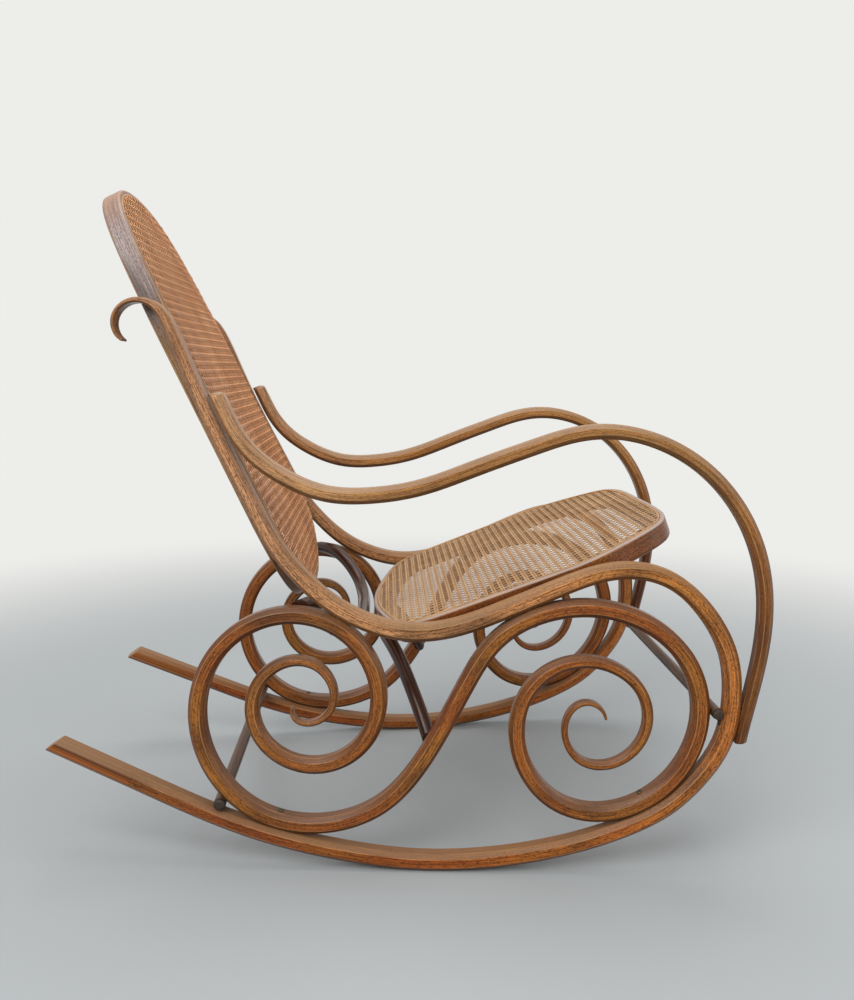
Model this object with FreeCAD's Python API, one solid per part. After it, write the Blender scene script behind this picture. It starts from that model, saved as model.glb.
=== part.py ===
import FreeCAD, Part
import math
import os

# Bentwood rocking chair, all sizes in millimetres.
# +X is the way the sitter faces, +Y the sitter's left, +Z up.
# The origin is on the floor, under the middle of the chair.

Vector = FreeCAD.Vector

# Stance of the two flat side frames
SIDE_SPACING = 531.0     # between the middles of the two frames, at the floor under the origin
SPLAY_DEGREES = 4.45      # each frame turns outwards towards the front
LEAN_DEGREES = 1.9       # and leans inwards towards the top

# Bent members: width lies in the plane of the side frame, depth across it
MEMBER_DEPTH = 30.0
SCROLL_TIP_DEPTH = 16.0
HOOK_TIP_DEPTH = 20.0
ARRIS = 6.5              # size of the eased edges
JOINT_GAP = 0.3          # clearance left where two bent members are drawn together

# Stations of the long rail as (x, z, width), from the hook at the top down the
# back post, along the seat, round the front loop and back along the rocker
HOOK = [(-397, 792, 3.5), (-407, 802, 5), (-410.5, 820, 6), (-402, 837.5, 6.5),
        (-386, 847.5, 7), (-367, 848.5, 8), (-347, 838.5, 12)]
BACK_POST = [(-333, 818, 15), (-308, 758, 18), (-266, 658.5, 20), (-218, 558.5, 22),
             (-191, 505.5, 23.5), (-152, 454, 24.5)]
SEAT_RAIL = [(-105, 411, 25.5), (-50, 381.5, 26), (15, 367, 26.5), (80, 374.5, 26.5),
             (145.5, 398, 26), (241.5, 438.5, 25), (297, 457.5, 24.5), (336, 461.5, 24.5)]
FRONT_LOOP = [(388, 450, 24.5), (445, 402, 25), (480, 338, 25), (488, 272, 25),
              (475.5, 201.5, 25), (442.5, 148, 25), (400.5, 106, 25.5)]
ROCKER = [(336, 69.5, 26), (233, 35, 26.5), (124, 16, 26.5), (14, 12.5, 26.5),
          (-93.5, 25.5, 26.5), (-200, 50, 26.5), (-302, 87, 26), (-399.5, 131, 25.5),
          (-497, 175.5, 25), (-524, 188, 24.5)]
ROCKER_HEEL = (-541.0, 180.5)      # lowest corner of the rocker's oblique rear end
ROCKER_HEEL_SLOPE = 34.0           # rise of that end face, degrees

# The scroll: extremes where each turn runs upright or level, as (x, z, width).
# From the curl inside the rear ring, outwards, over the S and into the front ring.
REAR_TIP = (-162.5, 250, 4)
REAR_TURNS = [(-164, 244, 5), (-142, 225.5, 8), (-100, 267.5, 12), (-153, 322, 16),
              (-224, 247, 22), (-133, 160, 25), (-33, 265, 25.5), (-159.5, 391.5, 25.5),
              (-307, 237, 25.5), (-142, 67, 26)]
S_POINTS = [(-27.5, 102, 26), (32.5, 170.5, 26), (97, 288.5, 26), (142.5, 356.5, 26)]
FRONT_TURNS = [(271, 405.5, 26), (442.5, 253, 26), (288.5, 92.3, 25.5), (172.5, 220.5, 24),
               (271.5, 325, 18.5), (366, 240.5, 15), (293.5, 165.5, 12.5), (243.5, 220.5, 9),
               (276.5, 262, 7)]
FRONT_TIP = [(298, 251.5, 5.5), (304, 237, 3.5)]

# The arm: rear end on the back post, forward and down to the front loop
ARM = [(-267.5, 718.5, 21), (-255.3, 692, 22), (-239.7, 660.7, 22.5), (-216.5, 630.5, 23),
       (-174, 598.5, 23.5), (-108, 572, 23.5), (-44.5, 569.5, 23.5), (25.5, 580.5, 23.5),
       (105.5, 608.5, 23.5), (193, 640.5, 23), (257, 659.5, 22.5), (307.5, 662.5, 22),
       (358, 652.5, 21.5), (429, 615.5, 21), (491.5, 545.5, 21), (522, 472.5, 21),
       (531, 393, 20.5), (525, 327.5, 19.5), (513.2, 266.5, 18.5), (501.2, 203.5, 16)]
ARM_DEPTH = 28.0

# Seat hoop: its top face is a plane that rises to the front
SEAT_REAR_X = -43.0
SEAT_ORIGIN_Z = 366.2              # height of that plane over the origin
SEAT_SLOPE_DEGREES = 20.35
SEAT_HOOP_DEPTH = 32.0
SEAT_TOUCH = 14.0                  # depth under its top at which its sides meet the rails
# Rear and front ends of its outline as (x, half width); between them it follows the rails
SEAT_REAR_END = [(-43, 0), (-39, 65), (-20, 160), (8, 224)]
SEAT_FRONT_END = [(302, 246), (370, 214), (405, 187), (422, 150), (428, 105), (429, 0)]
SEAT_SIDE = (55.0, 250.0)          # x where the outline starts and stops following the rails

# Back hoop: long oval on a surface that bends near its foot and is straight above
BACK_FOOT = (-141.0, 385.0)        # front of its lowest point
BACK_FOOT_LEAN = 12.0              # degrees from upright at the foot
BACK_LEAN = 25.4                   # and on the straight part
BACK_BEND_RADIUS = 640.0           # of the front surface in between
BACK_HOOP_DEPTH = 30.0
BACK_TOUCH = 13.0                  # depth behind its front at which its sides meet the rails
# Foot and top ends of its outline as (z, half width)
BACK_FOOT_END = [(385, 0), (389, 60), (405, 112), (433, 160), (472, 198)]
BACK_TOP_END = [(868, 189), (905, 181), (945, 168), (980, 148), (1010, 112), (1028, 62), (1035, 0)]
BACK_SIDE = (535.0, 815.0)         # z where the outline starts and stops following the rails

# Both hoops
HOOP_WIDTH = 27.0
HOOP_ARRIS = 4.0         # size of the eased outer edges
RIM = 7.0                # wood left outside the reed spline

# Woven panels, laid in a rebate flush with the hoop, and the reed that holds them
CANE_THICKNESS = 2.4
CANE_PITCH = 62.0
HOLE = 0.28              # half the side of an opening, in pitches
SPLINE_WIDTH = 4.5
SPLINE_HEIGHT = 3.4

# Cross pieces
REAR_STRETCHER = (-274.2, 100.6, 18.8)    # x, z, diameter
FRONT_STRETCHER = (464.3, 250.0, 16.9)
CAP_LENGTH = 7.0                          # of the metal caps on the ends of both stretchers
CAP_STAND = 1.5                           # a cap's stand over the frame's outer face
END_GAP = 0.3                             # between a cap and the end of its stretcher
BRACE_DIAMETER = 22.0
# Half of each bent brace as (x, distance in from the side frame, z), to the chair's middle
REAR_BRACE = [(-150, 0, 398), (-130, 25, 399), (-100, 62, 386), (-76, 96, 360),
              (-64, 142, 341), (-60, None, 336)]
FRONT_BRACE = [(45, 0, 190), (34, 27, 218), (16, 66, 258), (-4, 112, 293),
               (-22, 165, 309), (-27, None, 309)]

# Screws, drawn with few sides, each from the piece it holds into the middle of the next
SCREW_SHANK = 4.6
SCREW_HEAD = (9.0, 2.4)          # diameter and height
SCREW_CLEARANCE = 0.3            # all round in its hole
HEAD_GAP = 0.3                   # between a head and the piece under it
HOOP_HEAD_GAP = 0.5              # and more on a hoop's wall, which leans under the head
# Where members of a side frame are screwed to each other, near (x, z)
SCROLL_SCREWS = [(187, 390), (-189, 74), (-97, 375), (368, 115)]
ARM_SCREWS = [(-275, 685), (483, 235)]
SEAT_SCREWS = [60, 250]          # x of those from the seat hoop into a rail
BACK_SCREWS = [600, 770]         # z of those from the back hoop into a rail

MAX_TURN = math.radians(13)      # turning allowed between two neighbouring sections
MAX_STEP = 75.0                  # and distance


class Curve:
    """Smooth curve through stations that also carry a width."""

    def __init__(self, stations, closed=False):
        self.points = [Vector(*station[:3]) for station in stations]
        self.values = [station[3:] for station in stations]
        self.at = [0.0]
        ring = self.points + ([self.points[0]] if closed else [])
        for first, second in zip(ring, ring[1:]):
            self.at.append(self.at[-1] + second.distanceToPoint(first))
        self.curve = Part.BSplineCurve()
        self.curve.interpolate(Points=self.points, PeriodicFlag=closed, Parameters=self.at)

    def value(self, u):
        """Linear blend of the values that the stations carry."""
        for i in range(len(self.points) - 1):
            if u <= self.at[i + 1]:
                break
        t = min(max((u - self.at[i]) / (self.at[i + 1] - self.at[i]), 0.0), 1.0)
        return [a + (b - a) * t for a, b in zip(self.values[i], self.values[i + 1])]

    def tangent(self, u):
        return Vector(*self.curve.tangent(u)[0]).normalize()

    def steps(self, start, end):
        """Parameters from start to end, closer together where the curve turns more."""
        found = [start]
        last = self.tangent(start)
        u = start
        while u < end:
            u = min(u + 2.0, end)
            if self.tangent(u).getAngle(last) > MAX_TURN or u - found[-1] > MAX_STEP:
                found.append(u)
                last = self.tangent(u)
        if end - found[-1] < 6.0 and len(found) > 2:
            found.pop()
        return found + [end]


def eased_section(centre, across, deep, width, depth, arris=ARRIS):
    """Corners of a rectangle with eased edges: width runs along across, depth along deep."""
    cut = min(arris, width * 0.3, depth * 0.3)
    a = width / 2
    b = depth / 2
    corners = [(a - cut, -b), (a, cut - b), (a, b - cut), (a - cut, b),
               (cut - a, b), (-a, b - cut), (-a, cut - b), (cut - a, -b)]
    return [centre + across * i + deep * j for i, j in corners]


def skin(sections, at):
    """Solid through sections of equal corner count, one face to each side of the section."""
    lines = []
    for corners in zip(*sections):
        line = Part.BSplineCurve()
        line.interpolate(Points=list(corners), Parameters=list(at))
        lines.append(line)
    faces = []
    for first, second in zip(lines, lines[1:] + lines[:1]):
        strip = Part.BSplineSurface()
        strip.buildFromPolesMultsKnots([first.getPoles(), second.getPoles()], [2, 2],
                                       first.getMultiplicities(), [0.0, 1.0], first.getKnots(),
                                       False, False, 1, first.Degree)
        faces.append(strip.toShape())
    for end in (sections[0], sections[-1]):
        faces.append(Part.Face(Part.makePolygon(end + end[:1])))
    shell = Part.makeShell(faces)
    shell.sewShape()
    solid = Part.makeSolid(shell)
    if solid.Volume < 0:
        solid.reverse()
    return solid


def plane_curve(stations):
    """Centre line of a member that lies in the XZ plane."""
    return Curve([(x, 0, z, w) for x, z, w in stations])


def flat_member(curve, depths, tapers=(0.0, 0.0), end_face=None):
    """Bent member in the XZ plane, along its centre line.

    depths is the depth at its start, its middle and its end, tapers the length over which
    each end's depth runs out, and end_face a point and a slope of an oblique last face.
    """
    deep = Vector(0, 1, 0)
    end = curve.at[-1]
    sections = []
    at = curve.steps(0.0, end)
    for u in at:
        depth = depths[1]
        if u < tapers[0]:
            depth = depths[0] + (depths[1] - depths[0]) * u / tapers[0]
        if end - u < tapers[1]:
            depth = depths[2] + (depths[1] - depths[2]) * (end - u) / tapers[1]
        across = curve.tangent(u).cross(deep)
        sections.append(eased_section(curve.curve.value(u), across, deep,
                                      curve.value(u)[0], depth))
    if end_face:
        corner, slope = end_face
        normal = Vector(-math.sin(slope), 0, math.cos(slope))
        along = curve.tangent(end)
        sections[-1] = [point + along * ((corner - point).dot(normal) / along.dot(normal))
                        for point in sections[-1]]
    return skin(sections, at)


def turn_points(extremes, per_quarter=3):
    """Stations on the quarter ellipses that join one extreme of a scroll to the next."""
    found = []
    for (x0, z0, w0), (x1, z1, w1) in zip(extremes, extremes[1:]):
        first_is_side = extremes.index((x0, z0, w0)) % 2 == 0
        for i in range(per_quarter):
            angle = math.pi / 2 * i / per_quarter
            lead = math.sin(angle)
            lag = 1 - math.cos(angle)
            along_x = lag if first_is_side else lead
            along_z = lead if first_is_side else lag
            found.append((x0 + (x1 - x0) * along_x, z0 + (z1 - z0) * along_z,
                          w0 + (w1 - w0) * i / per_quarter))
    return found + [extremes[-1]]


def scroll_stations():
    """Stations of the whole scroll, from its rear tip to its front tip."""
    front = [FRONT_TURNS[0]] + turn_points([(0, 0, 0)] + FRONT_TURNS)[4:]
    return [REAR_TIP] + turn_points(REAR_TURNS) + S_POINTS + front + FRONT_TIP


def prism(start, end, diameter, sides=6):
    """Few-sided bar between two points."""
    along = (end - start).normalize()
    side = along.cross(Vector(0, 1, 0) if abs(along.y) < 0.9 else Vector(1, 0, 0)).normalize()
    other = along.cross(side)
    points = []
    for i in range(sides + 1):
        angle = 2 * math.pi * i / sides
        points.append(start + (side * math.cos(angle) + other * math.sin(angle)) * (diameter / 2))
    return Part.Face(Part.makePolygon(points)).extrude(end - start)


class Screw:
    """Headed screw from the face of one piece to its tip inside the next."""

    def __init__(self, seat, tip):
        self.along = (tip - seat).normalize()
        self.seat = seat - self.along * HEAD_GAP
        self.tip = tip

    def solid(self):
        diameter, height = SCREW_HEAD
        head = prism(self.seat - self.along * height, self.seat, diameter, 8)
        return head.fuse(prism(self.seat, self.tip, SCREW_SHANK)).removeSplitter()

    def hole(self):
        """The clearance hole, from in front of the head to just past the tip."""
        return prism(self.seat - self.along, self.tip + self.along,
                     SCREW_SHANK + 2 * SCREW_CLEARANCE)


def frame_screw(first, second, near):
    """Screw through one member into another where their centre lines come closest."""
    place = Vector(near[0], 0, near[1])
    best = None
    u = 0.0
    while u < first.at[-1]:
        point = first.curve.value(u)
        if point.distanceToPoint(place) < 45:
            facing = second.curve.value(second.curve.parameter(point))
            gap = point.distanceToPoint(facing)
            if best is None or gap < best[0]:
                best = (gap, u, point, facing)
        u += 1.0
    _, u, point, facing = best
    along = (facing - point).normalize()
    return Screw(point - along * (first.value(u)[0] / 2), facing)


def make_frame():
    """Members and screws of one side frame, in its own plane."""
    rail = plane_curve(HOOK + BACK_POST + SEAT_RAIL + FRONT_LOOP + ROCKER)
    scroll = plane_curve(scroll_stations())
    arm = plane_curve(ARM)
    heel = Vector(ROCKER_HEEL[0], 0, ROCKER_HEEL[1])
    members = {
        "side_rail": flat_member(rail, (HOOK_TIP_DEPTH, MEMBER_DEPTH, MEMBER_DEPTH), (160.0, 0.0),
                                 (heel, math.radians(ROCKER_HEEL_SLOPE))),
        "scroll": flat_member(scroll, (SCROLL_TIP_DEPTH, MEMBER_DEPTH, SCROLL_TIP_DEPTH),
                              (620.0, 700.0)),
        "arm": flat_member(arm, (ARM_DEPTH, ARM_DEPTH, ARM_DEPTH))}
    scroll_screws = [frame_screw(scroll, rail, near) for near in SCROLL_SCREWS]
    arm_screws = [frame_screw(rail, arm, near) for near in ARM_SCREWS]
    scroll_holes = [screw.hole() for screw in scroll_screws]
    arm_holes = [screw.hole() for screw in arm_screws]
    members["scroll"] = members["scroll"].cut(scroll_holes)
    members["arm"] = members["arm"].cut(arm_holes)
    members["side_rail"] = members["side_rail"].cut(scroll_holes + arm_holes)
    screws = {"scroll_screws": [screw.solid() for screw in scroll_screws],
              "arm_screws": [screw.solid() for screw in arm_screws]}
    return members, screws


def place_side(shape):
    """Put a piece made in the plane of a side frame where it stands on the right."""
    turn = FreeCAD.Rotation(Vector(0, 0, 1), -SPLAY_DEGREES)
    lean = FreeCAD.Rotation(Vector(1, 0, 0), -LEAN_DEGREES)
    placed = shape.copy()
    placed.Placement = FreeCAD.Placement(Vector(0, -SIDE_SPACING / 2, 0), turn.multiply(lean))
    return placed


def frame_normal():
    """Across the right side frame, towards the chair's middle."""
    splay = math.radians(SPLAY_DEGREES)
    lean = math.radians(LEAN_DEGREES)
    return Vector(math.sin(splay) * math.cos(lean), math.cos(splay) * math.cos(lean),
                  -math.sin(lean))


def inner_face(x, z):
    """Distance from the middle of the chair to a side frame's inner face."""
    normal = frame_normal()
    middle = SIDE_SPACING / 2 * normal.y - MEMBER_DEPTH / 2
    return (middle + normal.x * x + normal.z * z) / normal.y


def hoop_screw(x, z):
    """Screw from a hoop's inner wall into the right rail at a point of the rail's inner face."""
    normal = frame_normal()
    joint = Vector(x, -inner_face(x, z), z)
    return Screw(joint + normal * (JOINT_GAP + HOOP_WIDTH + HOOP_HEAD_GAP), joint - normal * (MEMBER_DEPTH / 2))


def both_sides(shapes):
    """The shapes of the right side with their mirror images."""
    return shapes + [shape.mirror(Vector(0, 0, 0), Vector(0, 1, 0)) for shape in shapes]


class Sheet:
    """Plane of a hoop's outline: u runs along it from the lower end, v is Y."""

    SAMPLES = 9

    def __init__(self, origin, slope, low_end, side, high_end):
        self.origin = origin
        self.along = Vector(math.cos(slope), 0, math.sin(slope))
        self.normal = Vector(-math.sin(slope), 0, math.cos(slope))
        self.length = high_end[-1][0]
        first, last = Vector(*side[0], 0), Vector(*side[1], 0)
        self.side = (first, last)
        run = (last - first).normalize()
        low = self.end_curve([Vector(*p, 0) for p in low_end] + [first], Vector(0, 1, 0), run)
        high = self.end_curve([last] + [Vector(*p, 0) for p in high_end], run, Vector(0, -1, 0))
        self.ends = (low, high)

    def end_curve(self, points, start, finish):
        curve = Part.BSplineCurve()
        curve.interpolate(Points=points, InitialTangent=start, FinalTangent=finish)
        return curve

    def inset_end(self, curve, inset):
        """Points of an end curve moved inwards, with the directions at both ends."""
        first, last = curve.FirstParameter, curve.LastParameter
        points = []
        for i in range(self.SAMPLES + 1):
            u = first + (last - first) * i / self.SAMPLES
            tangent = Vector(*curve.tangent(u)[0]).normalize()
            inwards = Vector(tangent.y, -tangent.x, 0)
            points.append(curve.value(u) + inwards * inset)
        return points

    def at(self, u, v, height=0.0):
        return self.origin + self.along * u + Vector(0, v, 0) + self.normal * height

    def face(self, inset, height=0.0):
        """The outline drawn in by inset, as a face at a height over the plane."""
        run = (self.side[1] - self.side[0]).normalize()
        low = self.inset_end(self.ends[0], inset)
        high = self.inset_end(self.ends[1], inset)
        edges = []
        for sign in (1, -1):
            def place(point):
                return self.at(point.x, sign * point.y, height)

            def direct(x, y):
                return self.along * x + Vector(0, sign * y, 0)
            half = []
            for points, start, finish in ((low, (0, 1), (run.x, run.y)),
                                          (high, (run.x, run.y), (0, -1))):
                curve = Part.BSplineCurve()
                curve.interpolate(Points=[place(p) for p in points],
                                  InitialTangent=direct(*start), FinalTangent=direct(*finish))
                half.append(curve.toShape())
            half.insert(1, Part.makeLine(place(low[-1]), place(high[0])))
            edges += half if sign > 0 else half[::-1]
        return Part.Face(Part.Wire(edges))


def seat_sheet():
    slope = math.radians(SEAT_SLOPE_DEGREES)

    def height(x):
        return SEAT_ORIGIN_Z + math.tan(slope) * x

    def along(x):
        return (x - SEAT_REAR_X) / math.cos(slope)
    return Sheet(Vector(SEAT_REAR_X, 0, height(SEAT_REAR_X)), slope,
                 [(along(x), half) for x, half in SEAT_REAR_END],
                 [(along(x), inner_face(x, height(x) - SEAT_TOUCH) - JOINT_GAP)
                  for x in SEAT_SIDE],
                 [(along(x), half) for x, half in SEAT_FRONT_END])


def back_front(z):
    """x of the back's front surface at a height."""
    low, high = math.radians(BACK_FOOT_LEAN), math.radians(BACK_LEAN)
    centre_x = BACK_FOOT[0] - BACK_BEND_RADIUS * math.cos(low)
    centre_z = BACK_FOOT[1] - BACK_BEND_RADIUS * math.sin(low)
    bend_top = centre_z + BACK_BEND_RADIUS * math.sin(high)
    if z < bend_top:
        return centre_x + math.sqrt(BACK_BEND_RADIUS ** 2 - (z - centre_z) ** 2)
    return centre_x + BACK_BEND_RADIUS * math.cos(high) - (z - bend_top) * math.tan(high)


def back_sheet():
    lean = math.radians(BACK_LEAN)

    def along(z):
        return (z - BACK_FOOT[1]) * math.cos(lean) - (back_front(z) - BACK_FOOT[0]) * math.sin(lean)
    rear = BACK_TOUCH * math.cos(lean)
    return Sheet(Vector(BACK_FOOT[0], 0, BACK_FOOT[1]), math.pi / 2 + lean,
                 [(along(z), half) for z, half in BACK_FOOT_END],
                 [(along(z), inner_face(back_front(z) - rear, z) - JOINT_GAP) for z in BACK_SIDE],
                 [(along(z), half) for z, half in BACK_TOP_END])


def ring(sheet, outset, inset, low, high):
    """Solid between two insets of the outline and two heights."""
    outer = sheet.face(outset, low).extrude(sheet.normal * (high - low))
    inner = sheet.face(inset, low - 1).extrude(sheet.normal * (high - low + 2))
    return outer.cut(inner)


def ease_outside(hoop, sheet):
    """Chamfer the long edges round a hoop's outer wall."""
    inside = sheet.face(1.0)
    edges = []
    for edge in hoop.Edges:
        middle = edge.valueAt((edge.FirstParameter + edge.LastParameter) / 2)
        flat = middle - sheet.normal * (middle - sheet.origin).dot(sheet.normal)
        across = edge.tangentAt((edge.FirstParameter + edge.LastParameter) / 2)
        if abs(across.dot(sheet.normal)) < 0.5 and not inside.isInside(flat, 0.01, True):
            edges.append(edge)
    return hoop.makeChamfer(HOOP_ARRIS, edges)


def holes(sheet, inset, low, high):
    """Square prisms of the open weave that lie whole inside an inset of the outline."""
    limit = sheet.face(inset)
    columns = int(limit.BoundBox.YMax / CANE_PITCH) + 1
    found = []
    for i in range(int(sheet.length / CANE_PITCH) + 1):
        for j in range(-columns, columns + 1):
            corners = [((i + a) * CANE_PITCH, (j + b) * CANE_PITCH)
                       for a, b in ((-HOLE, -HOLE), (HOLE, -HOLE), (HOLE, HOLE), (-HOLE, HOLE))]
            if all(limit.isInside(sheet.at(u, v), 0.01, True) for u, v in corners):
                points = [sheet.at(u, v, low) for u, v in corners]
                square = Part.Face(Part.makePolygon(points + points[:1]))
                found.append(square.extrude(sheet.normal * (high - low)))
    return found


def seat_screws():
    height = SEAT_ORIGIN_Z - SEAT_TOUCH
    rise = math.tan(math.radians(SEAT_SLOPE_DEGREES))
    return [hoop_screw(x, height + rise * x) for x in SEAT_SCREWS]


def back_screws():
    rear = BACK_TOUCH * math.cos(math.radians(BACK_LEAN))
    return [hoop_screw(back_front(z) - rear, z) for z in BACK_SCREWS]


def make_seat():
    sheet = seat_sheet()
    hoop = ease_outside(ring(sheet, 0, HOOP_WIDTH, -SEAT_HOOP_DEPTH, 0.0), sheet)
    hoop = hoop.cut(ring(sheet, RIM, HOOP_WIDTH + 2, -CANE_THICKNESS, 1.0))
    spline = ring(sheet, RIM + 0.2, RIM + SPLINE_WIDTH, -CANE_THICKNESS,
                  SPLINE_HEIGHT - CANE_THICKNESS)
    cane = sheet.face(RIM + SPLINE_WIDTH + 0.2, -CANE_THICKNESS).extrude(
        sheet.normal * CANE_THICKNESS)
    gaps = holes(sheet, HOOP_WIDTH + 6, -CANE_THICKNESS - 1, 1.0)
    return {"seat_hoop": hoop, "seat_spline": spline, "seat_cane": cane.cut(gaps)}


def back_slab(front, rear):
    """Bent slab between two distances behind the back's front surface."""
    low, high = math.radians(BACK_FOOT_LEAN), math.radians(BACK_LEAN)
    centre = Vector(BACK_FOOT[0], 0, BACK_FOOT[1])
    centre -= Vector(math.cos(low), 0, math.sin(low)) * BACK_BEND_RADIUS

    def arc_point(angle, distance):
        return centre + Vector(math.cos(angle), 0, math.sin(angle)) * (BACK_BEND_RADIUS - distance)
    down = Vector(math.sin(low), 0, -math.cos(low)) * BACK_HOOP_DEPTH
    up = Vector(-math.sin(high), 0, math.cos(high)) * (BACK_TOP_END[-1][0] - BACK_FOOT[1])
    front_line = [arc_point(low, front), arc_point((low + high) / 2, front), arc_point(high, front)]
    rear_line = [arc_point(high, rear), arc_point((low + high) / 2, rear), arc_point(low, rear)]
    edges = [Part.makeLine(front_line[0] + down, front_line[0]),
             Part.Arc(*front_line).toShape(),
             Part.makeLine(front_line[2], front_line[2] + up),
             Part.makeLine(front_line[2] + up, rear_line[0] + up),
             Part.makeLine(rear_line[0] + up, rear_line[0]),
             Part.Arc(*rear_line).toShape(),
             Part.makeLine(rear_line[2], rear_line[2] + down),
             Part.makeLine(rear_line[2] + down, front_line[0] + down)]
    profile = Part.Face(Part.Wire(edges))
    reach = SIDE_SPACING / 2
    profile.translate(Vector(0, -reach, 0))
    return profile.extrude(Vector(0, 2 * reach, 0))


def make_back():
    sheet = back_sheet()
    deep = 90.0
    hoop = back_slab(0, BACK_HOOP_DEPTH).common(ring(sheet, 0, HOOP_WIDTH, -deep, deep))
    hoop = ease_outside(hoop, sheet)
    hoop = hoop.cut(back_slab(-2, CANE_THICKNESS + 0.2).common(
        ring(sheet, RIM, HOOP_WIDTH + 2, -deep, deep)))
    spline = back_slab(CANE_THICKNESS - SPLINE_HEIGHT, CANE_THICKNESS).common(
        ring(sheet, RIM + 0.2, RIM + SPLINE_WIDTH, -deep, deep))
    cane = sheet.face(RIM + SPLINE_WIDTH + 0.2, -deep).extrude(sheet.normal * 2 * deep)
    cane = cane.cut(holes(sheet, HOOP_WIDTH + 6, -deep - 1, deep + 1))
    cane = back_slab(0, CANE_THICKNESS).common(cane)
    return {"back_hoop": hoop, "back_spline": spline, "back_cane": cane}


def make_brace(half):
    """Round rod bent through the stations and their mirror images, its ends on the frames."""
    right = [(x, 0.0 if inset is None else inset - inner_face(x, z) + JOINT_GAP, z)
             for x, inset, z in half]
    curve = Curve(right + [(x, -y, z) for x, y, z in reversed(right[:-1])])
    at = curve.steps(0.0, curve.at[-1])
    sections = []
    side = Vector(1, 0, 0)
    for u in at:
        tangent = curve.tangent(u)
        side = (side - tangent * side.dot(tangent)).normalize()
        sections.append(eased_section(curve.curve.value(u), side, tangent.cross(side),
                                      BRACE_DIAMETER, BRACE_DIAMETER, BRACE_DIAMETER * 0.29))
    normal = frame_normal()
    for index, foot, face in ((0, right[0], normal),
                              (-1, (right[0][0], -right[0][1], right[0][2]),
                               Vector(normal.x, -normal.y, normal.z))):
        along = curve.tangent(at[index])
        sections[index] = [point + along * ((Vector(*foot) - point).dot(face) / along.dot(face))
                           for point in sections[index]]
    return skin(sections, at)


def make_stretcher(x, z, diameter):
    """Dowel across the chair with a metal cap on each end, in the gap between two members."""
    outer = inner_face(x, z) + MEMBER_DEPTH / frame_normal().y + CAP_STAND
    half = outer - CAP_LENGTH
    dowel = Part.makeCylinder(diameter / 2, 2 * (half - END_GAP), Vector(x, END_GAP - half, z),
                              Vector(0, 1, 0))
    cap = Part.makeCylinder(diameter / 2, CAP_LENGTH, Vector(x, -outer, z), Vector(0, 1, 0))
    return dowel, cap


def save(name, shape, shift):
    """Write one piece, moved so that the chair stands on the floor over the origin."""
    placed = shape.copy()
    placed.translate(shift)
    placed.exportStep("parts/%s.step" % name)
    print("%-18s solids %d valid %s volume %.1f cm3" % (
        name, len(placed.Solids), placed.isValid(), placed.Volume / 1000))


def main():
    os.makedirs("parts", exist_ok=True)
    members, frame_screws = make_frame()
    seat_fixings, back_fixings = seat_screws(), back_screws()
    members["side_rail"] = place_side(members["side_rail"]).cut(
        [screw.hole() for screw in seat_fixings + back_fixings])
    members["scroll"] = place_side(members["scroll"])
    members["arm"] = place_side(members["arm"])
    pieces = {}
    for name, piece in members.items():
        pieces[name + "_right"], pieces[name + "_left"] = both_sides([piece])
    box = Part.makeCompound(list(pieces.values())).optimalBoundingBox(True, False)
    shift = Vector(-(box.XMin + box.XMax) / 2, 0, -box.ZMin)
    print("moved by", shift, "outside sizes", box.XLength, box.YLength)
    for name, solids in frame_screws.items():
        placed = [place_side(solid) for solid in solids]
        pieces[name] = Part.makeCompound(both_sides(placed))
    for name, hoop, fixings in (("seat_screws", "seat_hoop", seat_fixings),
                                ("back_screws", "back_hoop", back_fixings)):
        pieces.update(make_seat() if hoop == "seat_hoop" else make_back())
        pieces[hoop] = pieces[hoop].cut(both_sides([screw.hole() for screw in fixings]))
        pieces[name] = Part.makeCompound(both_sides([screw.solid() for screw in fixings]))
    pieces["brace_rear"] = make_brace(REAR_BRACE)
    pieces["brace_front"] = make_brace(FRONT_BRACE)
    pieces["stretcher_rear"], rear_cap = make_stretcher(*REAR_STRETCHER)
    pieces["stretcher_front"], front_cap = make_stretcher(*FRONT_STRETCHER)
    pieces["stretcher_caps"] = Part.makeCompound(both_sides([rear_cap, front_cap]))
    for name, piece in pieces.items():
        save(name, piece, shift)


main()
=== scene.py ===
"""Bentwood rocking chair with cane seat and back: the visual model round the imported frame.

Sizes are in millimetres in the drawing of the chair: +X the way the sitter faces, +Y the
sitter's left, +Z up. The last step of each piece moves it onto the floor, in metres.
"""
import logging
import math
from dataclasses import dataclass, field
from enum import Enum

import bpy
import numpy as np
from mathutils import Matrix, Vector


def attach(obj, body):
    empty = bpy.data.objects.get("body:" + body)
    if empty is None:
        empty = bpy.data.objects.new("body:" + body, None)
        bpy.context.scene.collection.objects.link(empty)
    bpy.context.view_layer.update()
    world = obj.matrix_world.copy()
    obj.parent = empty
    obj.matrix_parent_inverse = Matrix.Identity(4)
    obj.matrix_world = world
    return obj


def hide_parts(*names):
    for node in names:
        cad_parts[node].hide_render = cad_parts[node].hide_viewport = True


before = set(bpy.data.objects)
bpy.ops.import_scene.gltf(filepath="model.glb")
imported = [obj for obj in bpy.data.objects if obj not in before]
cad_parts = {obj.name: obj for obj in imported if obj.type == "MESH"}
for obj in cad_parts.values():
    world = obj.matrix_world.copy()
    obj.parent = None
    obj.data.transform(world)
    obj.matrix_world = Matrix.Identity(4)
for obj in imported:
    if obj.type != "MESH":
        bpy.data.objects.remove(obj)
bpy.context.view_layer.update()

log = logging.getLogger("rocking_chair")

Array = np.ndarray
Material = bpy.types.Material
Mesh = bpy.types.Mesh
Node = bpy.types.Node
Object = bpy.types.Object
Socket = bpy.types.NodeSocket
Tree = bpy.types.NodeTree
Pair = tuple[float, float]
Triple = tuple[float, float, float]
Stations = tuple[tuple[float, ...], ...]

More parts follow.
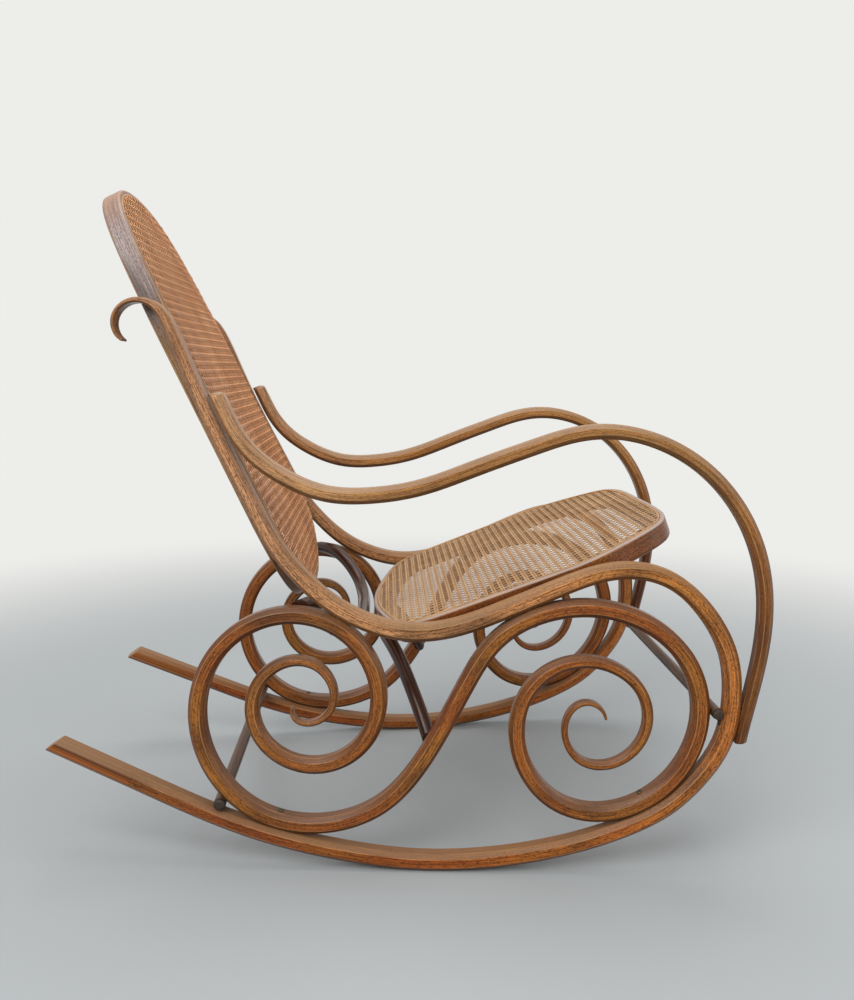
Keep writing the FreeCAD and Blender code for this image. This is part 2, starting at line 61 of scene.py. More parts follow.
# Stance of the two flat side frames, as they are in the CAD model
SIDE_SPACING = 531.0
SPLAY = math.radians(4.45)
LEAN = math.radians(1.9)
MEMBER_DEPTH = 30.0
JOINT_GAP = 0.3
FLOOR_SHIFT = np.array([-1.673, 0.0, 1.7795])
MILLIMETRE = 0.001

# How meshes are made
SHARP = math.radians(38.0)  # edges that bend more are shaded sharp
SAME_PLACE = 1e-6  # points nearer than this are one
WORN_SHARE = 0.16  # of a cut corner, worn off at each of its arrises
ARRIS_NEARNESS = (0.0, 0.45, 1.0, 0.45, 0.0)  # nearness to an arris, across it
NARROW_ROUNDING = 4  # sections in the rounding of an end
WIDE_ROUNDING = 9
PER_QUARTER = 3  # stations on each quarter turn of a scroll

# Colour sockets of a Mix node
MIX_A = 6
MIX_B = 7
MIX_OUT = 2


class Hand(Enum):
    """Side of the chair, as its sitter has it."""

    RIGHT = "right"
    LEFT = "left"


# Curves and frames


class Path:
    """Smooth curve through stations, by the length of the chords between them."""

    def __init__(self, points: Array, start: Array | None = None,
                 end: Array | None = None) -> None:
        """Fit the curve.

        Args:
            points: Stations, one row each.
            start: Direction at the first station, or None to let it follow the others.
            end: Direction at the last station.
        """
        self.points = np.asarray(points, float)
        steps = np.linalg.norm(np.diff(self.points, axis=0), axis=1)
        self.at = np.concatenate([[0.0], np.cumsum(steps)])
        self.length = float(self.at[-1])
        first = self._end_slope(self.at[:4], self.points[:4], 0) if start is None else start
        last = self._end_slope(self.at[-4:], self.points[-4:], -1) if end is None else end
        self.slopes = self._solve(steps, first, last)

    def _end_slope(self, at: Array, points: Array, index: int) -> Array:
        """Slope at an end of the cubic through the four stations nearest to it.

        Args:
            at: Places of the four stations along the chords.
            points: The stations.
            index: 0 for the slope at the first of them, -1 for that at the last.

        Returns:
            The slope there.
        """
        cubes_to_ones = np.vander(at - at[index], 4)
        _, _, slope, _ = np.linalg.solve(cubes_to_ones, points)
        return slope

    def _solve(self, steps: Array, first: Array, last: Array) -> Array:
        """Find the slopes that make the bend continuous.

        Args:
            steps: Lengths of the chords.
            first: Slope at the first station.
            last: Slope at the last station.

        Returns:
            The slope at each station.
        """
        count = len(self.points)
        chords = np.diff(self.points, axis=0) / steps[:, None]
        matrix = np.eye(count)
        sides = np.zeros_like(self.points)
        sides[0] = first
        sides[-1] = last
        for i in range(1, count - 1):
            before, after = steps[i - 1], steps[i]
            matrix[i, i - 1] = after
            matrix[i, i] = 2 * (before + after)
            matrix[i, i + 1] = before
            sides[i] = 3 * (after * chords[i - 1] + before * chords[i])
        return np.linalg.solve(matrix, sides)

    def sample(self, u: Array) -> tuple[Array, Array]:
        """Points and unit tangents.

        Args:
            u: Places along the chords, in millimetres.

        Returns:
            One row each of point and tangent.
        """
        i = np.clip(np.searchsorted(self.at, u, side="right") - 1, 0, len(self.at) - 2)
        h = (self.at[i + 1] - self.at[i])[:, None]
        t = (u - self.at[i])[:, None] / h
        p0, p1 = self.points[i], self.points[i + 1]
        m0, m1 = self.slopes[i] * h, self.slopes[i + 1] * h
        place = ((2 * t ** 3 - 3 * t ** 2 + 1) * p0 + (t ** 3 - 2 * t ** 2 + t) * m0
                 + (3 * t ** 2 - 2 * t ** 3) * p1 + (t ** 3 - t ** 2) * m1)
        slope = ((6 * t ** 2 - 6 * t) * (p0 - p1) + (3 * t ** 2 - 4 * t + 1) * m0
                 + (3 * t ** 2 - 2 * t) * m1)
        return place, unit(slope)


def unit(rows: Array) -> Array:
    """Rows scaled to length one."""
    return rows / np.linalg.norm(rows, axis=-1, keepdims=True)


def spaced(start: float, end: float, step: float) -> Array:
    """Even places from start to end, about a step apart."""
    return np.linspace(start, end, max(2, int(abs(end - start) / step) + 2))


def frame_normal() -> Array:
    """Across the right side frame, towards the chair's middle."""
    return np.array([math.sin(SPLAY) * math.cos(LEAN), math.cos(SPLAY) * math.cos(LEAN),
                     -math.sin(LEAN)])


def inner_face(x: Array, z: Array) -> Array:
    """Distance from the middle of the chair to a side frame's inner face.

    Args:
        x: Place forward, one or more.
        z: Height.

    Returns:
        The distance at each place.
    """
    normal = frame_normal()
    middle = SIDE_SPACING / 2 * normal[1] - MEMBER_DEPTH / 2
    return (middle + normal[0] * x + normal[2] * z) / normal[1]


def sideways(tangent: Array) -> Array:
    """Tangents of a flat path turned a quarter to its left."""
    return np.stack([-tangent[:, 1], tangent[:, 0]], axis=-1)


def run_along(points: Array) -> Array:
    """Distance of each point from the first, by way of those between."""
    steps = np.linalg.norm(np.diff(points, axis=0), axis=1)
    return np.concatenate([[0.0], np.cumsum(steps)])


def place_side(points: Array, hand: Hand) -> Array:
    """Put points drawn in the plane of a side frame where they stand in the chair.

    Args:
        points: Rows of x, y, z in the frame's own plane, y across it.
        hand: The side of the chair.

    Returns:
        The rows in the chair's drawing.
    """
    turn = Matrix.Rotation(-SPLAY, 3, "Z") @ Matrix.Rotation(-LEAN, 3, "X")
    placed = points @ np.array(turn).T + np.array([0.0, -SIDE_SPACING / 2, 0.0])
    if hand is Hand.LEFT:
        placed = placed * np.array([1.0, -1.0, 1.0])
    return placed


# Meshes


def new_object(name: str, mesh: Mesh) -> Object:
    """Put a mesh into the scene under a name.

    Args:
        name: The object's name.
        mesh: Its mesh.

    Returns:
        The object, at the world's origin.
    """
    made = bpy.data.objects.new(name, mesh)
    bpy.context.scene.collection.objects.link(made)
    return made


def read_points(mesh: Mesh) -> Array:
    """Read where a mesh's vertices are.

    Args:
        mesh: The mesh.

    Returns:
        One row for each vertex.
    """
    flat = np.empty(len(mesh.vertices) * 3)
    mesh.vertices.foreach_get("co", flat)
    return flat.reshape(-1, 3)


def move_points(mesh: Mesh, points: Array) -> None:
    """Put each vertex of a mesh where its row says."""
    mesh.vertices.foreach_set("co", points.ravel())
    mesh.update()


def tube(name: str, rings: Array, marks: dict[str, Array], closed: bool = False) -> Object:
    """Skin over rings of points, capped at both ends unless it closes on itself.

    Args:
        name: The piece's name.
        rings: Points in the chair's drawing, ring by ring.
        marks: Attributes by name, a value or vector for each point; on a closed skin they
            hold one more ring, for the way back to the first.
        closed: Whether the last ring joins the first.

    Returns:
        The piece, in metres.
    """
    count, around = rings.shape[:2]
    spans = count if closed else count - 1
    i = np.arange(spans)[:, None]
    j = np.arange(around)[None, :]
    after = (j + 1) % around
    corners = np.stack([i * around + j, i * around + after,
                        (i + 1) * around + after, (i + 1) * around + j], axis=-1).reshape(-1, 4)
    points = (rings.reshape(-1, 3) + FLOOR_SHIFT) * MILLIMETRE
    quads = corners % (count * around)
    a, b, c, d = (points[quads[:, k]] - points.mean(axis=0) for k in range(4))
    volume = np.einsum("ij,ij->", a, np.cross(b, c)) + np.einsum("ij,ij->", a, np.cross(c, d))
    if volume < 0:
        corners = corners[:, ::-1]
    loops = corners.ravel()
    totals = np.full(len(corners), 4)
    if not closed:
        first = np.arange(around)
        last = (count - 1) * around + np.arange(around)
        caps = (first[::-1], last) if volume >= 0 else (first, last[::-1])
        loops = np.concatenate([loops, *caps])
        totals = np.concatenate([totals, [around, around]])
    mesh = bpy.data.meshes.new(name)
    mesh.vertices.add(len(points))
    mesh.vertices.foreach_set("co", points.ravel())
    mesh.loops.add(len(loops))
    mesh.loops.foreach_set("vertex_index", loops % (count * around))
    mesh.polygons.add(len(totals))
    mesh.polygons.foreach_set("loop_start", np.concatenate([[0], np.cumsum(totals)[:-1]]))
    mesh.polygons.foreach_set("use_smooth", np.ones(len(totals), bool))
    mesh.update(calc_edges=True)
    for mark, values in marks.items():
        vector = values.ndim == 3
        layer = mesh.attributes.new(mark, "FLOAT_VECTOR" if vector else "FLOAT", "CORNER")
        flat = values.reshape(-1, 3) if vector else values.reshape(-1)
        layer.data.foreach_set("vector" if vector else "value", flat[loops].ravel())
    mesh.validate()
    mesh.set_sharp_from_angle(angle=SHARP)
    return new_object(name, mesh)


def eased_outline(half_width: Array, half_depth: Array, arris: Array) -> tuple[Array, Array]:
    """Rectangular sections with cut corners whose arrises are a little worn round.

    Args:
        half_width: Half the width of each section.
        half_depth: Half the depth of each section.
        arris: Size of each section's cut corners.

    Returns:
        The points of each section as rows of (across, deep), and how near each lies to an
        arris, from 0 to 1.
    """
    a, b, c = half_width, half_depth, arris
    corners = np.stack([np.stack([a - c, -b], -1), np.stack([a, c - b], -1),
                        np.stack([a, b - c], -1), np.stack([a - c, b], -1),
                        np.stack([c - a, b], -1), np.stack([-a, b - c], -1),
                        np.stack([-a, c - b], -1), np.stack([c - a, -b], -1)], axis=1)
    back = unit(np.roll(corners, 1, axis=1) - corners)
    on = unit(np.roll(corners, -1, axis=1) - corners)
    edge_tone = (c * WORN_SHARE)[:, None, None]
    # Five points to an arris: two either side of it, where the flats end, and its crown
    points = [corners + back * edge_tone * 2.0, corners + back * edge_tone,
              corners + (back + on) * edge_tone / 4, corners + on * edge_tone, corners + on * edge_tone * 2.0]
    outline = np.stack(points, axis=2).reshape(len(a), -1, 2)
    return outline, np.tile(ARRIS_NEARNESS, corners.shape[1])


def rounding(radius: float, steps: int = NARROW_ROUNDING) -> tuple[Array, Array]:
    """Sections that round an end of a rod.

    Args:
        radius: How far the end is rounded.
        steps: Sections in the rounding.

    Returns:
        Their distances from the end, and how much smaller each is on every side.
    """
    angle = np.linspace(0, math.pi / 2, steps)
    places = radius * (1 - np.sin(angle[::-1]))
    shrinks = radius * (1 - np.cos(angle[::-1]))
    return places, shrinks


@dataclass(frozen=True)
class Member:
    """Bent member of a side frame, drawn flat in the frame's own XZ plane."""

    name: str
    stations: Stations  # x, z and width along its centre line
    depths: Triple  # across the frame: at its start, middle and end
    tapers: Pair = (0.0, 0.0)  # how far from each end it thins
    heel: Triple | None = None  # x, z, slope of an oblique last face
    arris: float = 6.5  # of its cut corners
    arris_share: float = 0.6  # most of half a side that a cut corner takes
    step: float = 4.0  # between the rings
    end_round: float = 1.6
    thumb: float = 0.0  # rounding of one corner of the start, if larger
    toe: float = 0.0  # and of the same side's corner of the end
    heel_reach: float = 120.0  # the face is met no further from the end
    heel_room: float = 1.0  # kept between the last even ring and the face
    heel_half: float = 12.0  # half the section's size at the face

    def build(self, hand: Hand) -> Object:
        """Mesh of the member on one side of the chair.

        Args:
            hand: The side of the chair.

        Returns:
            The piece with its wood marks.
        """
        stations = np.array(self.stations)
        path = Path(stations[:, :2])
        first = max(self.end_round, self.thumb)
        last = max(self.end_round, self.toe)
        starts, opening = rounding(first, WIDE_ROUNDING if self.thumb else NARROW_ROUNDING)
        ends, closing = rounding(last, WIDE_ROUNDING if self.toe else NARROW_ROUNDING)
        body = spaced(first, path.length - last, self.step)[1:-1]
        u = np.concatenate([starts, body, path.length - ends[::-1]])
        shrink = np.concatenate([opening, body * 0, closing[::-1]])
        leaning = (u < self.thumb) | (u > path.length - self.toe)
        lean = np.where(leaning, shrink, 0.0)
        if self.heel:
            keep = self._before_heel(path, u)
            u, shrink, lean = u[keep], shrink[keep], lean[keep]
        centre, tangent = path.sample(u)
        width = np.interp(u, path.at, stations[:, 2])
        depth = self._depth(u, path.length)
        half_width = width / 2 - shrink
        # A thumb rounds the width; the depth shrinks little more than at a plain end
        half_depth = depth / 2 - np.minimum(shrink, self.end_round * 2)
        arris = np.minimum(self.arris, np.minimum(half_width, half_depth) * self.arris_share)
        outline, edge = eased_outline(half_width, half_depth, arris)
        across = sideways(tangent)
        centre = centre - across * lean[:, None]
        flat = centre[:, None, :] + across[:, None, :] * outline[..., :1]
        rings = np.stack([flat[..., 0], outline[..., 1], flat[..., 1]], axis=-1)
        run = np.broadcast_to(run_along(centre)[:, None, None], outline[..., :1].shape)
        rod = np.concatenate([run, outline], axis=-1)
        edges = np.broadcast_to(edge, outline.shape[:2])
        if self.heel:
            rings = np.concatenate([rings, self._heel_rings(rings[-1], centre[-1], tangent[-1])])
            more = len(rings) - len(rod)
            rod = np.concatenate([rod, np.repeat(rod[-1:], more, axis=0)])
            edges = np.concatenate([edges, np.repeat(edges[-1:], more, axis=0)])
        placed = place_side(rings.reshape(-1, 3), hand).reshape(rings.shape)
        return tube("%s_%s_wood" % (self.name, hand.value), placed, {"rod": rod, "edge": edges})

    def _depth(self, u: Array, length: float) -> Array:
        """Depth across the frame.

        Args:
            u: Places along the member.
            length: The member's whole length.

        Returns:
            The depth at each place.
        """
        depth = np.full_like(u, self.depths[1])
        for distance, taper, tip in ((u, self.tapers[0], self.depths[0]),
                                     (length - u, self.tapers[1], self.depths[2])):
            if taper:
                part = np.clip(distance / taper, 0, 1)
                depth = np.where(part < 1, tip + (self.depths[1] - tip) * part, depth)
        return depth

    def _heel_plane(self) -> tuple[Array, Array]:
        """Corner and normal of the oblique last face, in x and z."""
        x, z, slope = self.heel
        return np.array([x, z]), np.array([-math.sin(slope), math.cos(slope)])

    def _before_heel(self, path: Path, u: Array) -> Array:
        """Find the places whose whole section is in front of the oblique face.

        Args:
            path: The member's centre line.
            u: Places along it.

        Returns:
            True for each such place.
        """
        corner, normal = self._heel_plane()
        centre, tangent = path.sample(u)
        across = sideways(tangent)
        reach = self.stations[-1][2] / 2
        side = np.sign((centre[0] - corner) @ normal)
        clear = [((centre + across * reach * way - corner) @ normal) * side for way in (-1, 1)]
        far = u < path.length - self.heel_reach
        return (np.minimum(*clear) > self.end_round + self.heel_room) | far

    def _heel_rings(self, ring: Array, centre: Array, tangent: Array) -> Array:
        """Take the last section to the oblique face, and round its rim.

        Args:
            ring: The last even ring.
            centre: Its middle.
            tangent: The way the member runs there.

        Returns:
            The rings to add.
        """
        corner, normal = self._heel_plane()
        pull = np.array([tangent[0], 0.0, tangent[1]])
        lift = np.array([normal[0], 0.0, normal[1]])
        side = np.sign((centre - corner) @ normal)
        middle = np.array([centre[0], 0.0, centre[1]])
        places, shrinks = rounding(self.end_round)
        rings = []
        for place, shrink in zip(places[::-1], shrinks[::-1]):
            share = 1 - shrink / self.heel_half
            inner = middle + (ring - middle) * share
            face = np.array([corner[0], 0.0, corner[1]]) + lift * side * place
            travel = ((face - inner) @ lift) / (pull @ lift)
            rings.append(inner + pull * travel[:, None])
        return np.stack(rings)


def turn_points(extremes: Stations) -> list[tuple[float, ...]]:
    """Stations on the quarter ellipses that join one extreme of a scroll to the next.

    Args:
        extremes: x, z and width where the turns run upright or level, upright first.

    Returns:
        The stations in order.
    """
    found = []
    for number, ((x0, z0, w0), (x1, z1, w1)) in enumerate(zip(extremes, extremes[1:])):
        for i in range(PER_QUARTER):
            angle = math.pi / 2 * i / PER_QUARTER
            lead, lag = math.sin(angle), 1 - math.cos(angle)
            along_x, along_z = (lag, lead) if number % 2 == 0 else (lead, lag)
            found.append((x0 + (x1 - x0) * along_x, z0 + (z1 - z0) * along_z,
                          w0 + (w1 - w0) * i / PER_QUARTER))
    return found + [extremes[-1]]


@dataclass(frozen=True)
class SideFrames:
    """The two bent side frames: long rail, double scroll and arm on each side."""

    hook: Stations = ((-397, 792, 3.5), (-407, 802, 5), (-410.5, 820, 6), (-402, 837.5, 6.5),
                      (-386, 847.5, 7), (-367, 848.5, 8), (-347, 838.5, 12))
    back_post: Stations = ((-333, 818, 15), (-308, 758, 18), (-266, 658.5, 20),
                           (-218, 558.5, 22), (-191, 505.5, 23.5), (-152, 454, 24.5))
    seat_rail: Stations = ((-105, 411, 25.5), (-50, 381.5, 26), (15, 367, 26.5),
                           (80, 374.5, 26.5), (145.5, 398, 26), (241.5, 438.5, 25),
                           (297, 457.5, 24.5), (336, 461.5, 24.5))
    front_loop: Stations = ((388, 450, 24.5), (445, 402, 25), (480, 338, 25), (488, 272, 25),
                            (475.5, 201.5, 25), (442.5, 148, 25), (400.5, 106, 25.5))
    rocker: Stations = ((336, 69.5, 26), (233, 35, 26.5), (124, 16, 26.5), (14, 12.5, 26.5),
                        (-93.5, 25.5, 26.5), (-200, 50, 26.5), (-302, 87, 26),
                        (-399.5, 131, 25.5), (-497, 175.5, 25), (-524, 188, 24.5))
    heel: Triple = (-541.0, 180.5, math.radians(34.0))
    rear_tip: Triple = (-162.5, 250, 4)
    rear_turns: Stations = ((-164, 244, 5), (-142, 225.5, 8), (-100, 267.5, 12),
                            (-153, 322, 16), (-224, 247, 22), (-133, 160, 25),
                            (-33, 265, 25.5), (-159.5, 391.5, 25.5), (-307, 237, 25.5),
                            (-142, 67, 26))
    s_points: Stations = ((-27.5, 102, 26), (32.5, 170.5, 26), (97, 288.5, 26),
                          (142.5, 356.5, 26))
    front_turns: Stations = ((271, 405.5, 26), (442.5, 253, 26), (288.5, 92.3, 25.5),
                             (172.5, 220.5, 24), (271.5, 325, 18.5), (366, 240.5, 15),
                             (293.5, 165.5, 12.5), (243.5, 220.5, 9), (276.5, 262, 7))
    front_tip: Stations = ((298, 251.5, 5.5), (304, 237, 3.5))
    arm: Stations = ((-267.5, 718.5, 21), (-255.3, 692, 22), (-239.7, 660.7, 22.5),
                     (-216.5, 630.5, 23), (-174, 598.5, 23.5), (-108, 572, 23.5),
                     (-44.5, 569.5, 23.5), (25.5, 580.5, 23.5), (105.5, 608.5, 23.5),
                     (193, 640.5, 23), (257, 659.5, 22.5), (307.5, 662.5, 22),
                     (358, 652.5, 21.5), (429, 615.5, 21), (491.5, 545.5, 21),
                     (522, 472.5, 21), (531, 393, 20.5), (525, 327.5, 19.5),
                     (513.2, 266.5, 18.5), (501.2, 203.5, 16))
    arm_depth: float = 28.0
    arm_ends: Triple = (2.2, 8.5, 6.0)  # round, thumb and toe
    hook_tip_depth: float = 20.0
    hook_taper: float = 160.0
    scroll_tip_depth: float = 16.0
    scroll_tapers: Pair = (620.0, 700.0)

    def scroll_stations(self) -> Stations:
        """Stations of a whole scroll, from its rear tip to its front tip."""
        # The front turns start level, so an upright one leads in, and its stations are dropped
        front = turn_points(((0, 0, 0),) + self.front_turns)[PER_QUARTER:]
        return (self.rear_tip, *turn_points(self.rear_turns), *self.s_points, *front,
                *self.front_tip)

    def members(self) -> dict[str, Member]:
        """List the three members of a side frame.

        Returns:
            Each member by the start of its node's name.
        """
        rail = self.hook + self.back_post + self.seat_rail + self.front_loop + self.rocker
        rail_depths = (self.hook_tip_depth, MEMBER_DEPTH, MEMBER_DEPTH)
        scroll_depths = (self.scroll_tip_depth, MEMBER_DEPTH, self.scroll_tip_depth)
        end_round, thumb, toe = self.arm_ends
        return {
            "side_rail": Member("side_rail", rail, rail_depths, (self.hook_taper, 0.0), self.heel),
            "scroll": Member("scroll", self.scroll_stations(), scroll_depths, self.scroll_tapers),
            "arm": Member("arm", self.arm, (self.arm_depth,) * 3, end_round=end_round,
                          thumb=thumb, toe=toe)}

    def build(self, finishes: dict[str, Material]) -> None:
        """Make and hand in all six members.

        Args:
            finishes: Material for each kind of member.
        """
        for kind, member in self.members().items():
            for hand in Hand:
                piece = member.build(hand)
                hand_in(piece, finishes[kind], "%s_%s" % (kind, hand.value))


# The two hoops with their woven panels


@dataclass(frozen=True)
class Slope:
    """Flat or once-bent surface that carries a hoop: u runs up it, v is across the chair."""

    origin: Pair  # x and z where u is 0
    angle: float  # of the straight part, from level
    foot_angle: float | None = None  # of its lowest part, where it bends
    bend_radius: float = 0.0
    bend_steps: int = 40
    straight_ends: Pair = (-100.0, 900.0)  # of a flat one, from its origin
    foot_run: float = 30.0  # straight run below the bend
    top_run: float = 800.0  # and above it

    def _profile(self) -> tuple[Array, Array]:
        """Draw the surface as it is seen from the side.

        Returns:
            Points along it, and the way into the wood at each.
        """
        if self.foot_angle is None:
            along = np.array([math.cos(self.angle), math.sin(self.angle)])
            points = np.array(self.origin) + along * np.array(self.straight_ends)[:, None]
            inwards = np.array([math.sin(self.angle), -math.cos(self.angle)])
            return points, np.tile(inwards, (2, 1))
        low, high = self.foot_angle - math.pi / 2, self.angle - math.pi / 2
        angles = np.linspace(low, high, self.bend_steps)
        outwards = np.stack([np.cos(angles), np.sin(angles)], -1)
        centre = np.array(self.origin) - outwards[0] * self.bend_radius
        arc = centre + outwards * self.bend_radius
        along = sideways(outwards)
        before = arc[0] - along[0] * self.foot_run
        after = arc[-1] + along[-1] * self.top_run
        points = np.concatenate([[before], arc, [after]])
        return points, -np.concatenate([outwards[:1], outwards, outwards[-1:]])

    def heights(self, u: Array, depth: float) -> Array:
        """Height of the surface over its straight plane.

        Args:
            u: Places up the plane.
            depth: How far into the wood.

        Returns:
            The height at each place.
        """
        points, inwards = self._profile()
        moved = points + inwards * depth - np.array(self.origin)
        along = np.array([math.cos(self.angle), math.sin(self.angle)])
        normal = np.array([-math.sin(self.angle), math.cos(self.angle)])
        return np.interp(u, moved @ along, moved @ normal)

    def place(self, u: Array, v: Array, depth: float) -> Array:
        """Put places on the surface into the chair's drawing.

        Args:
            u: Places up it.
            v: Places across the chair.
            depth: How far into the wood.

        Returns:
            One row for each place.
        """
        height = self.heights(u, depth)
        x = self.origin[0] + math.cos(self.angle) * u - math.sin(self.angle) * height
        z = self.origin[1] + math.sin(self.angle) * u + math.cos(self.angle) * height
        return np.stack([x, v, z], axis=-1)

    def lift(self, u: Array, v: Array, height: Array) -> Array:
        """Put places over the surface into the chair's drawing.

        Args:
            u: Places up it.
            v: Places across the chair.
            height: Height of each over the surface.

        Returns:
            One row for each place.
        """
        surface = self.place(u, v, 0.0)
        ahead = self.place(u + 1.0, v, 0.0)
        along = unit(ahead - surface)
        normal = np.stack([-along[:, 2], along[:, 1] * 0, along[:, 0]], -1)
        return surface + normal * height[:, None]


@dataclass(frozen=True)
class Outline:
    """Closed outline of a hoop, as even points with the way inwards at each."""

    points: Array
    inwards: Array
    run: Array

    @classmethod
    def through(cls, low_end: Stations, side: Stations, high_end: Stations,
                step: float) -> "Outline":
        """Outline through its two curved ends and its straight sides.

        Args:
            low_end: (u, half width) round the lower end.
            side: The two ends of the straight side.
            high_end: (u, half width) round the upper end.
            step: Distance between the points found.

        Returns:
            The whole outline, once round.
        """
        run = unit(np.array(side[1]) - np.array(side[0]))
        low = Path(np.array([*low_end, side[0]]), np.array([0.0, 1.0]), run)
        high = Path(np.array([side[1], *high_end]), run, np.array([0.0, -1.0]))
        drawn = 1.0  # mm between the points that the outline is first drawn through
        half = np.concatenate([low.sample(spaced(0, low.length, drawn))[0],
                               high.sample(spaced(0, high.length, drawn))[0]])
        loop = np.concatenate([half, half[-2::-1] * np.array([1.0, -1.0])])
        steps = np.linalg.norm(np.diff(loop, axis=0), axis=1)
        loop = loop[np.concatenate([[True], steps > SAME_PLACE])]
        length = run_along(loop)
        at = np.linspace(0, length[-1], int(length[-1] / step) + 1)[:-1]
        points = np.stack([np.interp(at, length, loop[:, k]) for k in range(2)], -1)
        tangent = unit(np.roll(points, -1, axis=0) - np.roll(points, 1, axis=0))
        return cls(points, -sideways(tangent), np.append(at, length[-1]))

    def inset(self, distance: float) -> Array:
        """The outline drawn in."""
        return self.points + self.inwards * distance


@dataclass(frozen=True)
class Hoop:
    """Bent hoop with its rebate and the reed in it."""

    name: str
    slope: Slope
    outline: Outline
    depth: float
    width: float = 27.0
    arris: float = 4.0  # of the two outer edges
    ease: float = 1.5  # of the inner ones
    ease_cut: float = 0.4  # how far the middle of that easing is cut in
    flat_margin: float = 1.0  # from an outer edge's easing to the ring that ends it
    top_margin: float = 0.6
    rim: float = 7.0  # from the outer side to the rebate
    lip: float = 0.5  # easing of the rebate's lip
    fillet: float = 0.8  # at the rebate's foot
    rebate: float = 2.4
    reed_room: float = 0.2
    reed_width: float = 4.5
    reed_stand: float = 1.0  # crown of the reed over the hoop's face
    reed_sunk: float = 0.4  # its sides under that face
    turn_steps: int = 5  # in the rounding of an outer edge
    reed_steps: int = 8

    def _ring(self, name: str, section: list[Triple]) -> Object:
        """Sweep a section of (inset, depth, edge) once round the outline.

        Args:
            name: The piece's name.
            section: Corners of the section, each with its nearness to an arris.

        Returns:
            The piece with its wood marks.
        """
        columns = []
        for inset, depth, _ in section:
            at = self.outline.inset(inset)
            columns.append(self.slope.place(at[:, 0], at[:, 1], depth))
        rings = np.stack(columns, axis=1)
        run = np.broadcast_to(self.outline.run[:, None, None], (len(rings) + 1, len(section), 1))
        flat = np.array([corner[:2] for corner in section])
        rod = np.concatenate([run, np.broadcast_to(flat, run.shape[:2] + (2,))], axis=-1)
        edge = np.broadcast_to([corner[2] for corner in section], run.shape[:2])
        return tube(name, rings, {"rod": rod, "edge": edge}, closed=True)

    def wood(self) -> Object:
        """Sweep the hoop itself, its outer arrises eased round and a rebate in its face.

        Returns:
            The piece.
        """
        e, d, w, r = self.arris, self.depth, self.width, self.rebate
        turns = np.linspace(0, math.pi / 2, self.turn_steps + 1)
        top = [(e * (1 - math.sin(a)), e * (1 - math.cos(a)), math.sin(a * 2)) for a in turns]
        foot = [(inset, d - depth, edge) for inset, depth, edge in reversed(top)]
        side = [(0.0, e + self.flat_margin, 0.0), (0.0, d - e - self.flat_margin, 0.0)]
        below = [(e + self.flat_margin, d, 0.0), (w - self.ease, d, 0.0),
                 (w - self.ease_cut, d - self.ease_cut, 1.0), (w, d - self.ease, 0.0)]
        inside = [(w, r + self.ease, 0.0), (w - self.ease_cut, r + self.ease_cut, 0.8),
                  (w - self.ease, r, 0.0), (self.rim + self.fillet, r, 0.0),
                  (self.rim, r - self.fillet / 2, 0.0), (self.rim, self.lip, 0.4),
                  (self.rim - self.lip, 0.0, 0.7), (self.rim - self.lip * 2, 0.0, 0.0)]
        return self._ring("%s_wood" % self.name, [(e + self.top_margin, 0.0, 0.0)] + top + side
                          + foot + below + inside)

    def reed(self) -> Object:
        """Sweep the half-round reed that wedges the panel's edge into the rebate.

        Returns:
            The piece.
        """
        low = self.rim + self.reed_room
        high = self.rim + self.reed_width
        middle, half = (low + high) / 2, (high - low) / 2
        section = [(low, self.rebate, 0.0), (high, self.rebate, 0.0)]
        for i in range(self.reed_steps + 1):
            angle = math.pi * i / self.reed_steps
            crown = (self.reed_stand + self.reed_sunk) * math.sin(angle)
            section.append((middle + half * math.cos(angle), self.reed_sunk - crown,
                            abs(math.cos(angle)) ** 3))
        return self._ring("%s_reed" % self.name, section)


class Strand(Enum):
    """The four ways in which the strands of a six-way cane weave run."""

    WARP = "warp"  # pairs up the panel
    WEFT = "weft"  # pairs across it
    RISING = "rising"  # diagonals
    FALLING = "falling"

    @property
    def straight(self) -> bool:
        """Whether it is one of a pair up or across the panel."""
        return self in (Strand.WARP, Strand.WEFT)


